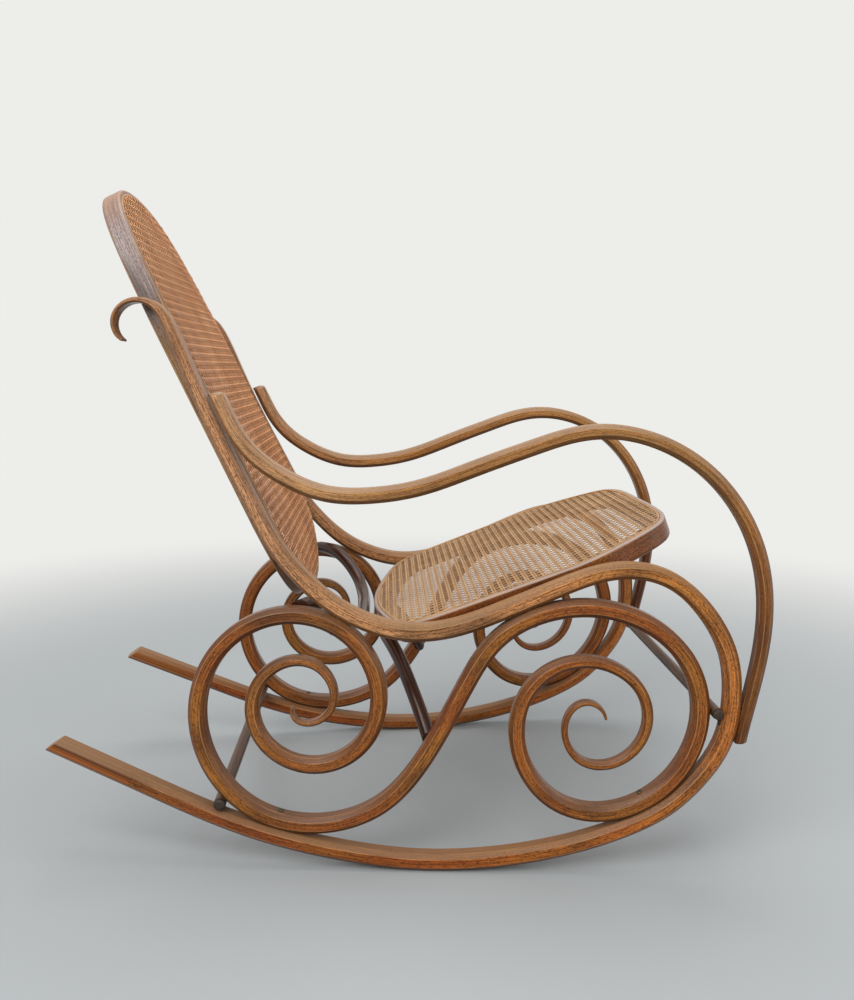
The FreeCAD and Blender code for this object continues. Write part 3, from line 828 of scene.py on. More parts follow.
@dataclass(frozen=True)
class Weave:
    """Six-way cane: pairs of strands both ways and a diagonal through each corner."""

    pitch: float = 13.2
    pair_gap: float = 4.2  # between the middles of a pair's two strands
    width: float = 2.2  # of a strand
    diagonal_width: float = 2.5
    thickness: float = 0.8
    wave: float = 0.3  # rise and fall of a strand over its neighbours
    diagonal_wave: float = 0.5
    sunk: float = 0.9  # middle of the weave under the hoop's face
    tuck: float = 11.2  # inset at which the strands end, under the reed
    end_room: float = 0.8  # a strand bends no nearer to its end
    flat_share: float = 0.14  # of a step, that a diagonal runs level either way

    def lines(self, kind: Strand, outline: Outline) -> list[Array]:
        """Strands of one kind, clipped to the outline.

        Args:
            kind: The way they run.
            outline: The hoop's outline.

        Returns:
            For each strand its points as rows of (u, v, height).
        """
        rim = outline.inset(self.tuck)
        ahead = np.roll(rim, -1, axis=0)
        across = {Strand.WARP: (0.0, 1.0), Strand.WEFT: (1.0, 0.0),
                  Strand.RISING: (1.0, -1.0), Strand.FALLING: (1.0, 1.0)}[kind]
        along = {Strand.WARP: (1.0, 0.0), Strand.WEFT: (0.0, 1.0),
                 Strand.RISING: (0.5, 0.5), Strand.FALLING: (0.5, -0.5)}[kind]
        along, across = np.array(along), np.array(across)
        level = rim @ across
        found = []
        for offset, turn in self._offsets(kind, level.min(), level.max()):
            sides = (level - offset) * (np.roll(level, -1) - offset) < 0
            if sides.sum() < 2:
                continue
            gap = (np.roll(level, -1) - level)[sides]
            share = ((offset - level[sides]) / gap)[:, None]
            hits = rim[sides] + (ahead[sides] - rim[sides]) * share
            reach = np.sort(hits @ (along / (along @ along)))
            found.append(self._strand(kind, offset, turn, reach[0], reach[-1], along, across))
        return found

    def _offsets(self, kind: Strand, low: float, high: float) -> list[tuple[float, int]]:
        """Place the strands of one kind.

        Args:
            kind: The way they run.
            low: Where the panel starts across them.
            high: Where it ends.

        Returns:
            Each strand's place, and 1 or -1 for the way it goes over or under first.
        """
        numbers = range(math.floor(low / self.pitch), math.ceil(high / self.pitch) + 1)
        if kind.straight:
            return [(n * self.pitch + side * self.pair_gap / 2, side)
                    for n in numbers for side in (-1, 1)]
        return [((n + 0.5) * self.pitch, 1) for n in numbers]

    def _beats(self, kind: Strand, turn: int) -> Array:
        """Where a strand is high and low within one step.

        Args:
            kind: The way it runs.
            turn: 1 or -1 for the way it goes over or under first.

        Returns:
            Rows of place and height.
        """
        half = self.pitch / 2
        if kind.straight:
            high = (turn if kind is Strand.WARP else -turn) * self.wave
            return np.array([(-self.pair_gap / 2, -high), (self.pair_gap / 2, high), (half, 0.0)])
        high = self.diagonal_wave if kind is Strand.RISING else -self.diagonal_wave
        flat = self.pitch * self.flat_share
        return np.array([(-flat, high), (flat, high), (half - flat, -high), (half + flat, -high)])

    def _strand(self, kind: Strand, offset: float, turn: int, start: float, end: float,
                along: Array, across: Array) -> Array:
        """Draw one strand, over and under what it crosses.

        Args:
            kind: The way it runs.
            offset: Its place across the panel.
            turn: 1 or -1 for the way it goes over or under first.
            start: Where it starts along its line.
            end: Where it ends.
            along: The way its line runs, in u and v.
            across: The way from one line to the next.

        Returns:
            Its points as rows of (u, v, height).
        """
        base = across * offset / (across @ across)
        axis = 1 if kind is Strand.WEFT else 0
        steps = np.arange(math.floor(2 * start / self.pitch) - 2,
                          math.ceil(2 * end / self.pitch) + 2) * self.pitch
        beats = self._beats(kind, turn)
        places = ((steps[:, None] + beats[:, 0] - base[axis]) / along[axis]).ravel()
        heights = np.tile(beats[:, 1], len(steps))
        inside = (places > start + self.end_room) & (places < end - self.end_room)
        t = np.concatenate([[start], places[inside], [end]])
        h = np.concatenate([[0.0], heights[inside], [0.0]])
        return np.concatenate([base + along * t[:, None], h[:, None]], axis=1)


# Node trees


def add(tree: Tree, kind: str, links: dict | None = None, **settings: object) -> Node:
    """Add a node with its settings, values and links.

    Args:
        tree: The tree it goes into.
        kind: Its type.
        links: For each input, by name or number, a value to set or what joins it: a socket,
            a node for its first output, or a list of these.
        settings: Properties by name.

    Returns:
        The node.
    """
    node = tree.nodes.new(kind)
    for name, value in settings.items():
        setattr(node, name, value)
    for name, value in (links or {}).items():
        for source in value if isinstance(value, list) else [value]:
            if isinstance(source, Node):
                source = source.outputs[0]
            if isinstance(source, Socket):
                tree.links.new(source, node.inputs[name])
            else:
                node.inputs[name].default_value = source
    return node


def new_tree(name: str, inputs: dict[str, str]) -> tuple[Tree, Node]:
    """Start a geometry node tree with named inputs and one for its finish.

    Args:
        name: The tree's name.
        inputs: Kind of each input by name, such as Float.

    Returns:
        The tree and its group input.
    """
    tree = bpy.data.node_groups.new(name, "GeometryNodeTree")
    for way, sockets in (("INPUT", {"Geometry": "Geometry", **inputs, "Finish": "Material"}),
                         ("OUTPUT", {"Geometry": "Geometry"})):
        for label, kind in sockets.items():
            tree.interface.new_socket(label, in_out=way, socket_type="NodeSocket" + kind)
    return tree, add(tree, "NodeGroupInput")


def end_tree(tree: Tree, start: Node, grown: Node) -> Tree:
    """Make what a tree grew real, dress it in the tree's finish and hand it out.

    Args:
        tree: The tree.
        start: Its group input.
        grown: The node whose geometry it makes.

    Returns:
        The tree.
    """
    real = add(tree, "GeometryNodeRealizeInstances", {"Geometry": grown})
    dressed = add(tree, "GeometryNodeSetMaterial",
                  {"Geometry": real, "Material": start.outputs["Finish"]})
    add(tree, "NodeGroupOutput", {"Geometry": dressed})
    return tree


def grow(name: str, mesh: Mesh, tree: Tree, values: dict[str, object]) -> Mesh:
    """Run a geometry node tree on a mesh and keep what it makes as a plain mesh.

    Args:
        name: Name of the mesh made.
        mesh: What the tree starts from.
        tree: The tree.
        values: Its inputs by name.

    Returns:
        The new mesh.
    """
    holder = new_object(name + "_start", mesh)
    modifier = holder.modifiers.new("grow", "NODES")
    modifier.node_group = tree
    for item in tree.interface.items_tree:
        if item.item_type == "SOCKET" and item.in_out == "INPUT" and item.name in values:
            modifier[item.identifier] = values[item.name]
    bpy.context.view_layer.update()
    evaluated = holder.evaluated_get(bpy.context.evaluated_depsgraph_get())
    made = bpy.data.meshes.new_from_object(evaluated)
    made.name = name
    bpy.data.objects.remove(holder)
    return made


def strand_tree() -> Tree:
    """Build the tree that gives every line of a mesh the domed section of a cane strand.

    Returns:
        The tree, whose Seed and tones set how pale each strand is.
    """
    tree, start = new_tree("cane_strands", {
        "Width": "Float", "Thickness": "Float", "Seed": "Int", "Darkest": "Float",
        "Palest": "Float"})
    given = start.outputs
    lines = add(tree, "GeometryNodeMeshToCurve", {"Mesh": given["Geometry"]})
    level = add(tree, "GeometryNodeSetCurveNormal", {"Curve": lines}, mode="Z_UP")
    tone = add(tree, "FunctionNodeRandomValue",
               {2: given["Darkest"], 3: given["Palest"], "Seed": given["Seed"]},
               data_type="FLOAT")
    toned = add(tree, "GeometryNodeStoreNamedAttribute",
                {"Geometry": level, "Name": "strand", "Value": tone.outputs[1]},
                data_type="FLOAT", domain="CURVE")
    length = add(tree, "GeometryNodeSplineParameter")
    ran = add(tree, "GeometryNodeStoreNamedAttribute",
              {"Geometry": toned, "Name": "run", "Value": length.outputs["Length"]},
              data_type="FLOAT", domain="POINT")
    circle = add(tree, "GeometryNodeCurvePrimitiveCircle", {"Resolution": 6, "Radius": 0.5})
    place = add(tree, "GeometryNodeInputPosition")
    height = add(tree, "ShaderNodeSeparateXYZ", {0: place})
    above = add(tree, "ShaderNodeMath", {0: height.outputs["Y"]}, operation="ABSOLUTE")
    crown = add(tree, "GeometryNodeStoreNamedAttribute",
                {"Geometry": circle, "Name": "crown", "Value": above},
                data_type="FLOAT", domain="POINT")
    size = add(tree, "ShaderNodeCombineXYZ",
               {"X": given["Width"], "Y": given["Thickness"], "Z": 1.0})
    section = add(tree, "GeometryNodeTransform", {"Geometry": crown, "Scale": size})
    skin = add(tree, "GeometryNodeCurveToMesh",
               {"Curve": ran, "Profile Curve": section, "Fill Caps": True})
    return end_tree(tree, start, add(tree, "GeometryNodeSetShadeSmooth", {"Geometry": skin}))


@dataclass(frozen=True)
class WovenPanel:
    """Cane panel of one hoop, its strands in four pieces by the way they run."""

    name: str
    hoop: Hoop
    weave: Weave
    seed: int
    # The darkest and the palest strand of each kind: the diagonals are painted darkest and the
    # weft palest, which paints shade and light in the weave
    tones: dict[Strand, Pair] = field(default_factory=lambda: {
        Strand.WARP: (0.3, 0.9), Strand.WEFT: (0.5, 1.0), Strand.RISING: (0.0, 0.5),
        Strand.FALLING: (0.0, 0.5)})

    def build(self, tree: Tree, finish: Material) -> list[Object]:
        """Make the four pieces.

        Args:
            tree: The tree that gives lines the section of a strand.
            finish: The cane's material.

        Returns:
            The pieces, laid on the hoop's surface.
        """
        pieces = []
        for number, kind in enumerate(Strand):
            strands = self.weave.lines(kind, self.hoop.outline)
            firsts = np.cumsum([0] + [len(strand) for strand in strands])
            edges = [(k, k + 1) for a, b in zip(firsts, firsts[1:]) for k in range(a, b - 1)]
            mesh = bpy.data.meshes.new("lines")
            mesh.from_pydata(np.concatenate(strands).tolist(), edges, [])
            width = self.weave.width if kind.straight else self.weave.diagonal_width
            low, high = self.tones[kind]
            name = "%s_%s" % (self.name, kind.value)
            made = grow(name, mesh, tree, {
                "Width": width, "Thickness": self.weave.thickness,
                "Seed": self.seed + number, "Darkest": low, "Palest": high, "Finish": finish})
            u, v, height = read_points(made).T
            laid = self.hoop.slope.lift(u, v, height - self.weave.sunk)
            move_points(made, (laid + FLOOR_SHIFT) * MILLIMETRE)
            pieces.append(new_object(name, made))
        return pieces


@dataclass(frozen=True)
class SeatAndBack:
    """Seat and back: two hoops held between the side frames."""

    seat_rear_x: float = -43.0
    seat_origin_z: float = 366.2  # of its face, where x is 0
    seat_angle: float = math.radians(20.35)
    seat_depth: float = 32.0
    seat_touch: float = 14.0  # under its face, where it meets the side frames
    seat_rear_end: Stations = ((-43, 0), (-39, 65), (-20, 160), (8, 224))
    seat_front_end: Stations = ((302, 246), (370, 214), (405, 187), (422, 150), (428, 105),
                                (429, 0))
    seat_side: Pair = (55.0, 250.0)  # x where its straight sides start and end
    seat_seed: int = 11  # of its strands' tones
    back_foot: Pair = (-141.0, 385.0)
    back_foot_lean: float = math.radians(12.0)
    back_lean: float = math.radians(25.4)
    back_bend_radius: float = 640.0
    back_depth: float = 30.0
    back_touch: float = 13.0  # behind its face, where it meets the side frames
    back_foot_end: Stations = ((385, 0), (389, 60), (405, 112), (433, 160), (472, 198))
    back_top_end: Stations = ((868, 189), (905, 181), (945, 168), (980, 148), (1010, 112),
                              (1028, 62), (1034.5, 0))
    back_side: Pair = (535.0, 815.0)  # z where its straight sides start and end
    back_seed: int = 31
    step: float = 4.0  # between the points of an outline
    seat_weave: Weave = Weave()
    # Thicker than real cane, so that the background hardly shows through at a low angle
    back_weave: Weave = Weave(pitch=14.0, pair_gap=4.4, thickness=1.2, wave=0.5,
                              diagonal_wave=0.9)

    def seat(self) -> Hoop:
        """Lay out the seat's hoop.

        Returns:
            The hoop on its flat slope.
        """
        rise = math.tan(self.seat_angle)

        def along(x: float) -> float:
            """Distance up the seat from its rear."""
            return (x - self.seat_rear_x) / math.cos(self.seat_angle)

        side = tuple((along(x), float(inner_face(x, self.seat_origin_z + rise * x
                                                 - self.seat_touch)) - JOINT_GAP)
                     for x in self.seat_side)
        rear, front = (tuple((along(x), half) for x, half in end)
                       for end in (self.seat_rear_end, self.seat_front_end))
        origin = (self.seat_rear_x, self.seat_origin_z + rise * self.seat_rear_x)
        return Hoop("seat_hoop", Slope(origin, self.seat_angle),
                    Outline.through(rear, side, front, self.step), self.seat_depth)

    def back_front(self, z: float) -> float:
        """Find where the back's front surface is.

        Args:
            z: Height.

        Returns:
            Its x at that height.
        """
        low, high = self.back_foot_lean, self.back_lean
        centre_x = self.back_foot[0] - self.back_bend_radius * math.cos(low)
        centre_z = self.back_foot[1] - self.back_bend_radius * math.sin(low)
        bend_top = centre_z + self.back_bend_radius * math.sin(high)
        if z < bend_top:
            return centre_x + math.sqrt(self.back_bend_radius ** 2 - (z - centre_z) ** 2)
        return (centre_x + self.back_bend_radius * math.cos(high)
                - (z - bend_top) * math.tan(high))

    def back(self) -> Hoop:
        """Lay out the back's hoop.

        Returns:
            The hoop on its slope, which bends at the foot.
        """
        lean = self.back_lean
        rear = self.back_touch * math.cos(lean)

        def along(z: float) -> float:
            """Distance up the back from its foot."""
            return ((z - self.back_foot[1]) * math.cos(lean)
                    - (self.back_front(z) - self.back_foot[0]) * math.sin(lean))

        side = tuple((along(z), float(inner_face(self.back_front(z) - rear, z)) - JOINT_GAP)
                     for z in self.back_side)
        foot, top = (tuple((along(z), half) for z, half in end)
                     for end in (self.back_foot_end, self.back_top_end))
        slope = Slope(self.back_foot, math.pi / 2 + lean, math.pi / 2 + self.back_foot_lean,
                      self.back_bend_radius)
        return Hoop("back_hoop", slope, Outline.through(foot, side, top, self.step),
                    self.back_depth)

    def build(self, finishes: dict[str, Material]) -> None:
        """Make and hand in both hoops with their reeds and panels.

        Args:
            finishes: Materials by kind of piece.
        """
        tree = strand_tree()
        for kind, hoop, slot, weave, seed in (
                ("seat", self.seat(), "cane", self.seat_weave, self.seat_seed),
                ("back", self.back(), "cane_red", self.back_weave, self.back_seed)):
            hand_in(hoop.wood(), finishes[kind + "_hoop"], kind + "_hoop")
            hand_in(hoop.reed(), finishes["reed"], kind + "_spline")
            panel = WovenPanel(kind + "_cane", hoop, weave, seed)
            for piece in panel.build(tree, finishes[kind + "_cane"]):
                hand_in(piece, None, kind + "_cane")


# Braces, stretchers, caps and screws


@dataclass(frozen=True)
class CrossPieces:
    """Two bent braces, two turned stretchers and the caps on the stretchers' ends."""

    brace_diameter: float = 22.0
    # x, distance inwards from the side frame (None on the chair's middle) and z
    rear_brace: tuple = ((-150, 0, 398), (-130, 25, 399), (-100, 62, 386), (-76, 96, 360),
                         (-64, 142, 341), (-60, None, 336))
    front_brace: tuple = ((45, 0, 190), (34, 27, 218), (16, 66, 258), (-4, 112, 293),
                          (-22, 165, 309), (-27, None, 309))
    rear_stretcher: Triple = (-274.2, 100.6, 18.8)  # x, z, diameter
    front_stretcher: Triple = (464.3, 250.0, 16.9)
    stretcher_round: float = 1.0  # of its ends
    cap_stand: float = 1.5  # out of the side frame
    # Profile of a cap: distance from its outer end and share of the radius
    cap_profile: Stations = ((7.0, 0.92), (6.5, 1.0), (4.0, 1.0), (2.2, 0.98), (1.1, 0.9),
                             (0.4, 0.74), (0.0, 0.5), (0.0, 0.2))
    dent: Pair = (0.01, 0.035)  # least and most, of a cap's radius
    dent_waves: tuple[int, ...] = (2, 3, 5)  # dents round a cap
    end_gap: float = 0.3
    clear_room: float = 0.5  # of a brace's last even ring from the frame
    around: int = 28  # points in a ring
    step: float = 5.0
    stretcher_step: float = 8.0  # between the rings of a straight piece

    def _rod(self, name: str, centre: Array, across: Array, other: Array,
             radius: Array) -> Object:
        """Round rod through rings.

        Args:
            name: The piece's name.
            centre: Middle of each ring.
            across: First unit vector of each ring's plane.
            other: Second one.
            radius: Radius of each ring.

        Returns:
            The piece with its wood marks.
        """
        angle = np.arange(self.around) * 2 * math.pi / self.around
        x = radius[:, None] * np.cos(angle)
        y = radius[:, None] * np.sin(angle)
        rings = (centre[:, None, :] + across[:, None, :] * x[..., None]
                 + other[:, None, :] * y[..., None])
        rod = np.stack([np.broadcast_to(run_along(centre)[:, None], x.shape), x, y], -1)
        edge = np.zeros(x.shape)
        return tube(name, rings, {"rod": rod, "edge": edge})

    def brace(self, name: str, half: tuple) -> Object:
        """Bend a rod through stations and their mirror images.

        Args:
            name: The piece's name.
            half: The stations on the right half.

        Returns:
            The piece, its ends against the side frames.
        """
        right = [(x, 0.0 if inset is None else inset - float(inner_face(x, z)) + JOINT_GAP, z)
                 for x, inset, z in half]
        path = Path(np.array(right + [(x, -y, z) for x, y, z in reversed(right[:-1])]))
        centre, tangent = path.sample(spaced(0.0, path.length, self.step))
        side = np.array([1.0, 0.0, 0.0])
        sides = []
        for row in tangent:
            side = unit(side - row * (side @ row))
            sides.append(side)
        across = np.array(sides)
        other = np.cross(tangent, across)
        keep = self._clear_of_frames(centre, across, other)
        centre, across, other, tangent = (rows[keep] for rows in (centre, across, other, tangent))
        radius = np.full(len(centre), self.brace_diameter / 2)
        piece = self._rod(name, centre, across, other, radius)
        self._reach_frames(piece, right[0], tangent)
        return piece

    def _clear_of_frames(self, centre: Array, across: Array, other: Array) -> Array:
        """Find the rings of a brace that lie wholly between the side frames.

        Args:
            centre: Middle of each ring.
            across: First unit vector of each ring's plane.
            other: Second one.

        Returns:
            True for each such ring.
        """
        radius = self.brace_diameter / 2
        clear = np.ones(len(centre), bool)
        for angle in np.linspace(0, 2 * math.pi, 16, endpoint=False):
            rim = centre + (across * math.cos(angle) + other * math.sin(angle)) * radius
            room = inner_face(rim[:, 0], rim[:, 2]) - JOINT_GAP - np.abs(rim[:, 1])
            clear &= room > self.clear_room
        return clear

    def _reach_frames(self, piece: Object, foot: tuple, tangent: Array) -> None:
        """Draw the end rings of a brace on to the side frames' inner faces.

        Args:
            piece: The brace.
            foot: Its first station, on the right frame's face.
            tangent: The way it runs at each ring.
        """
        points = read_points(piece.data) / MILLIMETRE - FLOOR_SHIFT
        for rows, mirror, pull in ((slice(0, self.around), 1.0, tangent[0]),
                                   (slice(-self.around, None), -1.0, tangent[-1])):
            turn = np.array([1.0, mirror, 1.0])
            facing = frame_normal() * turn
            travel = ((np.array(foot) * turn - points[rows]) @ facing) / (pull @ facing)
            points[rows] += pull * travel[:, None]
        move_points(piece.data, (points + FLOOR_SHIFT) * MILLIMETRE)

    def _outer(self, x: float, z: float) -> float:
        """Distance from the chair's middle to the outer end of a cap."""
        return (float(inner_face(x, z)) + MEMBER_DEPTH / float(frame_normal()[1])
                + self.cap_stand)

    def _straight(self, name: str, x: float, z: float, places: Array, radii: Array) -> Object:
        """Turn a piece that lies straight across the chair.

        Args:
            name: The piece's name.
            x: Its place forward.
            z: Its height.
            places: Place of each ring across the chair.
            radii: Radius of each ring.

        Returns:
            The piece.
        """
        centre = np.stack([np.full_like(places, x), places, np.full_like(places, z)], -1)
        across = np.tile([1.0, 0.0, 0.0], (len(places), 1))
        other = np.tile([0.0, 0.0, 1.0], (len(places), 1))
        return self._rod(name, centre, across, other, radii)

    def stretcher(self, name: str, size: Triple) -> Object:
        """Turn the dowel between two caps, its ends a little rounded.

        Args:
            name: The piece's name.
            size: x, z and diameter.

        Returns:
            The piece.
        """
        x, z, diameter = size
        cap_length = self.cap_profile[0][0]
        half = self._outer(x, z) - cap_length - self.end_gap
        places, shrinks = rounding(self.stretcher_round)
        plain = half - 2 * self.stretcher_round
        body = spaced(-plain, plain, self.stretcher_step)
        at = np.concatenate([-half + places, body, half - places[::-1]])
        radii = diameter / 2 - np.concatenate([shrinks, body * 0, shrinks[::-1]])
        return self._straight(name, x, z, at, radii)

    def cap(self, name: str, size: Triple, side: float, seed: int) -> Object:
        """Forge the worn metal knob on one end of a stretcher.

        Args:
            name: The piece's name.
            size: x, z and diameter of the stretcher.
            side: -1 for its right end, 1 for its left.
            seed: Of its dents.

        Returns:
            The piece.
        """
        x, z, diameter = size
        back, share = np.array(self.cap_profile).T
        at = self._outer(x, z) - back
        piece = self._straight(name, x, z, at * side, diameter / 2 * share)
        rough = np.random.default_rng(seed)
        points = read_points(piece.data)
        reach = points - (np.array([x, 0.0, z]) + FLOOR_SHIFT) * MILLIMETRE
        reach[:, 1] = 0.0
        angle = np.arctan2(reach[:, 2], reach[:, 0])
        dents = sum(rough.uniform(*self.dent) * (np.cos(k * angle + rough.uniform(0, 6)) - 1)
                    for k in self.dent_waves)
        move_points(piece.data, points + reach * dents[:, None])
        return piece

    def build(self, finishes: dict[str, Material]) -> None:
        """Make and hand in the braces, stretchers and caps.

        Args:
            finishes: Materials by kind of piece.
        """
        for name, half in (("brace_rear", self.rear_brace), ("brace_front", self.front_brace)):
            hand_in(self.brace(name + "_rod", half), finishes["brace"], name)
        number = 0
        for name, size in (("stretcher_rear", self.rear_stretcher),
                           ("stretcher_front", self.front_stretcher)):
            hand_in(self.stretcher(name + "_dowel", size), finishes["stretcher"],
                    name)
            for side in (-1.0, 1.0):
                number += 1
                cap = self.cap("stretcher_cap_%d" % number, size, side, number)
                hand_in(cap, finishes["iron"], "stretcher_caps")


@dataclass(frozen=True)
class Screws:
    """Slotted dome-head screws, one for each that the CAD model has."""

    nodes: tuple[str, ...] = ("scroll_screws", "arm_screws", "seat_screws", "back_screws")
    head_radius: float = 4.5
    head_height: float = 2.4
    shank_radius: float = 2.3
    slot: Pair = (1.0, 1.1)  # width and depth
    arm_tip: float = 15.0  # of an arm's screws, hidden in its rounded end
    spin: float = 0.9  # radians from one screw's slot to the next
    apart: float = 60.0  # points further apart are of two screws
    head_share: float = 1.4  # of the shank's radius: what is wider is head
    cut: float = 30.0  # wider than any head
    head_facets: tuple[int, int] = (24, 12)  # round it, and from top to bottom
    shank_facets: int = 16
    sharp: float = math.radians(35.0)  # edges that bend more are shaded sharp

    def tree(self) -> Tree:
        """Build the tree that puts a screw on every point.

        Returns:
            The tree, which turns and stretches each screw by its point's marks.
        """
        tree, start = new_tree("dome_head_screws", {
            "Head radius": "Float", "Head height": "Float", "Shank radius": "Float"})
        given = start.outputs
        width, deep, cut, top = (size * MILLIMETRE
                                 for size in (*self.slot, self.cut, self.head_height))
        shape = add(tree, "ShaderNodeCombineXYZ", {
            "X": given["Head radius"], "Y": given["Head radius"], "Z": given["Head height"]})
        segments, rings = self.head_facets
        ball = add(tree, "GeometryNodeMeshUVSphere", {"Segments": segments, "Rings": rings})
        dome = add(tree, "GeometryNodeTransform", {"Geometry": ball, "Scale": shape})
        cuts = []
        for size, height in (((cut, cut, cut / 3), -cut / 6), ((width, cut, deep * 2), top)):
            block = add(tree, "GeometryNodeMeshCube", {"Size": size})
            cuts.append(add(tree, "GeometryNodeTransform",
                            {"Geometry": block, "Translation": (0.0, 0.0, height)}))
        head = add(tree, "GeometryNodeMeshBoolean", {"Mesh 1": dome, "Mesh 2": cuts},
                   operation="DIFFERENCE")
        rod = add(tree, "GeometryNodeMeshCylinder",
                  {"Vertices": self.shank_facets, "Radius": given["Shank radius"],
                   "Depth": 1.0})
        shank = add(tree, "GeometryNodeTransform",
                    {"Geometry": rod, "Translation": (0.0, 0.0, -0.5)})
        points = add(tree, "GeometryNodeMeshToPoints", {"Mesh": given["Geometry"]})
        turn = add(tree, "GeometryNodeInputNamedAttribute", {"Name": "turn"},
                   data_type="FLOAT_VECTOR")
        turned = add(tree, "FunctionNodeEulerToRotation", {"Euler": turn})
        reach = add(tree, "GeometryNodeInputNamedAttribute", {"Name": "reach"},
                    data_type="FLOAT")
        stretch = add(tree, "ShaderNodeCombineXYZ", {"X": 1.0, "Y": 1.0, "Z": reach})
        placed = [add(tree, "GeometryNodeInstanceOnPoints", {
            "Points": points, "Instance": part, "Rotation": turned, "Scale": scale})
            for part, scale in ((shank, stretch), (head, (1.0, 1.0, 1.0)))]
        return end_tree(tree, start, add(tree, "GeometryNodeJoinGeometry", {"Geometry": placed}))

    def _places(self, node: str) -> list[tuple[Vector, Vector, float]]:
        """Find each screw of a CAD node.

        Args:
            node: The node's name.

        Returns:
            For each the underside of its head, the way it faces and its shank's length, in
            metres.
        """
        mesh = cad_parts[node].data
        points = np.array([vertex.co for vertex in mesh.vertices])
        keys = np.unique(np.round(points, decimals=6), axis=0)
        found = []
        while len(keys):
            own = np.linalg.norm(keys - keys[0], axis=1) < self.apart * MILLIMETRE
            screw, keys = keys[own], keys[~own]
            middle = screw.mean(axis=0)
            axis = np.linalg.svd(screw - middle)[2][0]
            along = (screw - middle) @ axis
            wide = np.linalg.norm(screw - middle - np.outer(along, axis), axis=1)
            head = wide > self.shank_radius * MILLIMETRE * self.head_share
            if along[head].mean() < along[~head].mean():
                axis, along = -axis, -along
            seat = along[head].min()
            found.append((Vector(middle + axis * seat), Vector(axis),
                          float(seat - along.min())))
        return found

    def build(self, finish: Material) -> None:
        """Make and hand in the screws, one piece for each node.

        Args:
            finish: Their material.
        """
        tree = self.tree()
        for node in self.nodes:
            places = self._places(node)
            mesh = bpy.data.meshes.new("places")
            mesh.from_pydata([seat for seat, _, _ in places], [], [])
            turn = mesh.attributes.new("turn", "FLOAT_VECTOR", "POINT")
            for number, (_, axis, _) in enumerate(places):
                spin = Matrix.Rotation(self.spin * number, 3, "Z")
                facing = axis.to_track_quat("Z", "Y").to_matrix() @ spin
                turn.data[number].vector = facing.to_euler()
            reach = mesh.attributes.new("reach", "FLOAT", "POINT")
            tip = self.arm_tip * MILLIMETRE if node == "arm_screws" else 0.0
            reach.data.foreach_set("value", [length - tip for _, _, length in places])
            made = grow(node + "_turned", mesh, tree, {
                "Head radius": self.head_radius * MILLIMETRE,
                "Head height": self.head_height * MILLIMETRE,
                "Shank radius": self.shank_radius * MILLIMETRE, "Finish": finish})
            made.polygons.foreach_set("use_smooth", np.ones(len(made.polygons), bool))
            made.set_sharp_from_angle(angle=self.sharp)
            log.info("%s: %d screws", node, len(places))
            hand_in(new_object(node + "_turned", made), None, node)


def hand_in(piece: Object, finish: Material | None, node: str) -> None:
    """Dress a piece, hang it under the root and hide the CAD node that it replaces.

    Args:
        piece: The finished piece.
        finish: Its material, or None where it has one.
        node: CAD node that it replaces.
    """
    if finish is not None:
        piece.data.materials.clear()
        piece.data.materials.append(finish)
    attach(piece, "root")
    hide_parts(node)
    log.info("%-28s %6d faces, for %s", piece.name, len(piece.data.polygons), node)


# Finishes


def colour(code: str) -> tuple[float, float, float, float]:
    """Turn an sRGB hex code into a linear colour.

    Args:
        code: Six hex digits after a hash.

    Returns:
        Red, green, blue and an alpha of 1.
    """
    values = [int(code[i:i + 2], 16) / 255 for i in (1, 3, 5)]
    linear = [v / 12.92 if v <= 0.04045 else ((v + 0.055) / 1.055) ** 2.4 for v in values]
    return (*linear, 1.0)


def new_material(name: str) -> tuple[Material, Tree]:
    """Start a material with an empty node tree.

    Args:
        name: The material's name.

    Returns:
        The material and its node tree.
    """
    material = bpy.data.materials.new(name)
    material.use_nodes = True
    material.node_tree.nodes.clear()
    return material, material.node_tree


def end_material(material: Material, look: dict[str, object]) -> Material:
    """Close a material with its shader and output.

    Args:
        material: The material.
        look: Values of the shader's inputs or what joins them, by name.

    Returns:
        The material.
    """
    shader = add(material.node_tree, "ShaderNodeBsdfPrincipled", look)
    add(material.node_tree, "ShaderNodeOutputMaterial", {"Surface": shader})
    return material


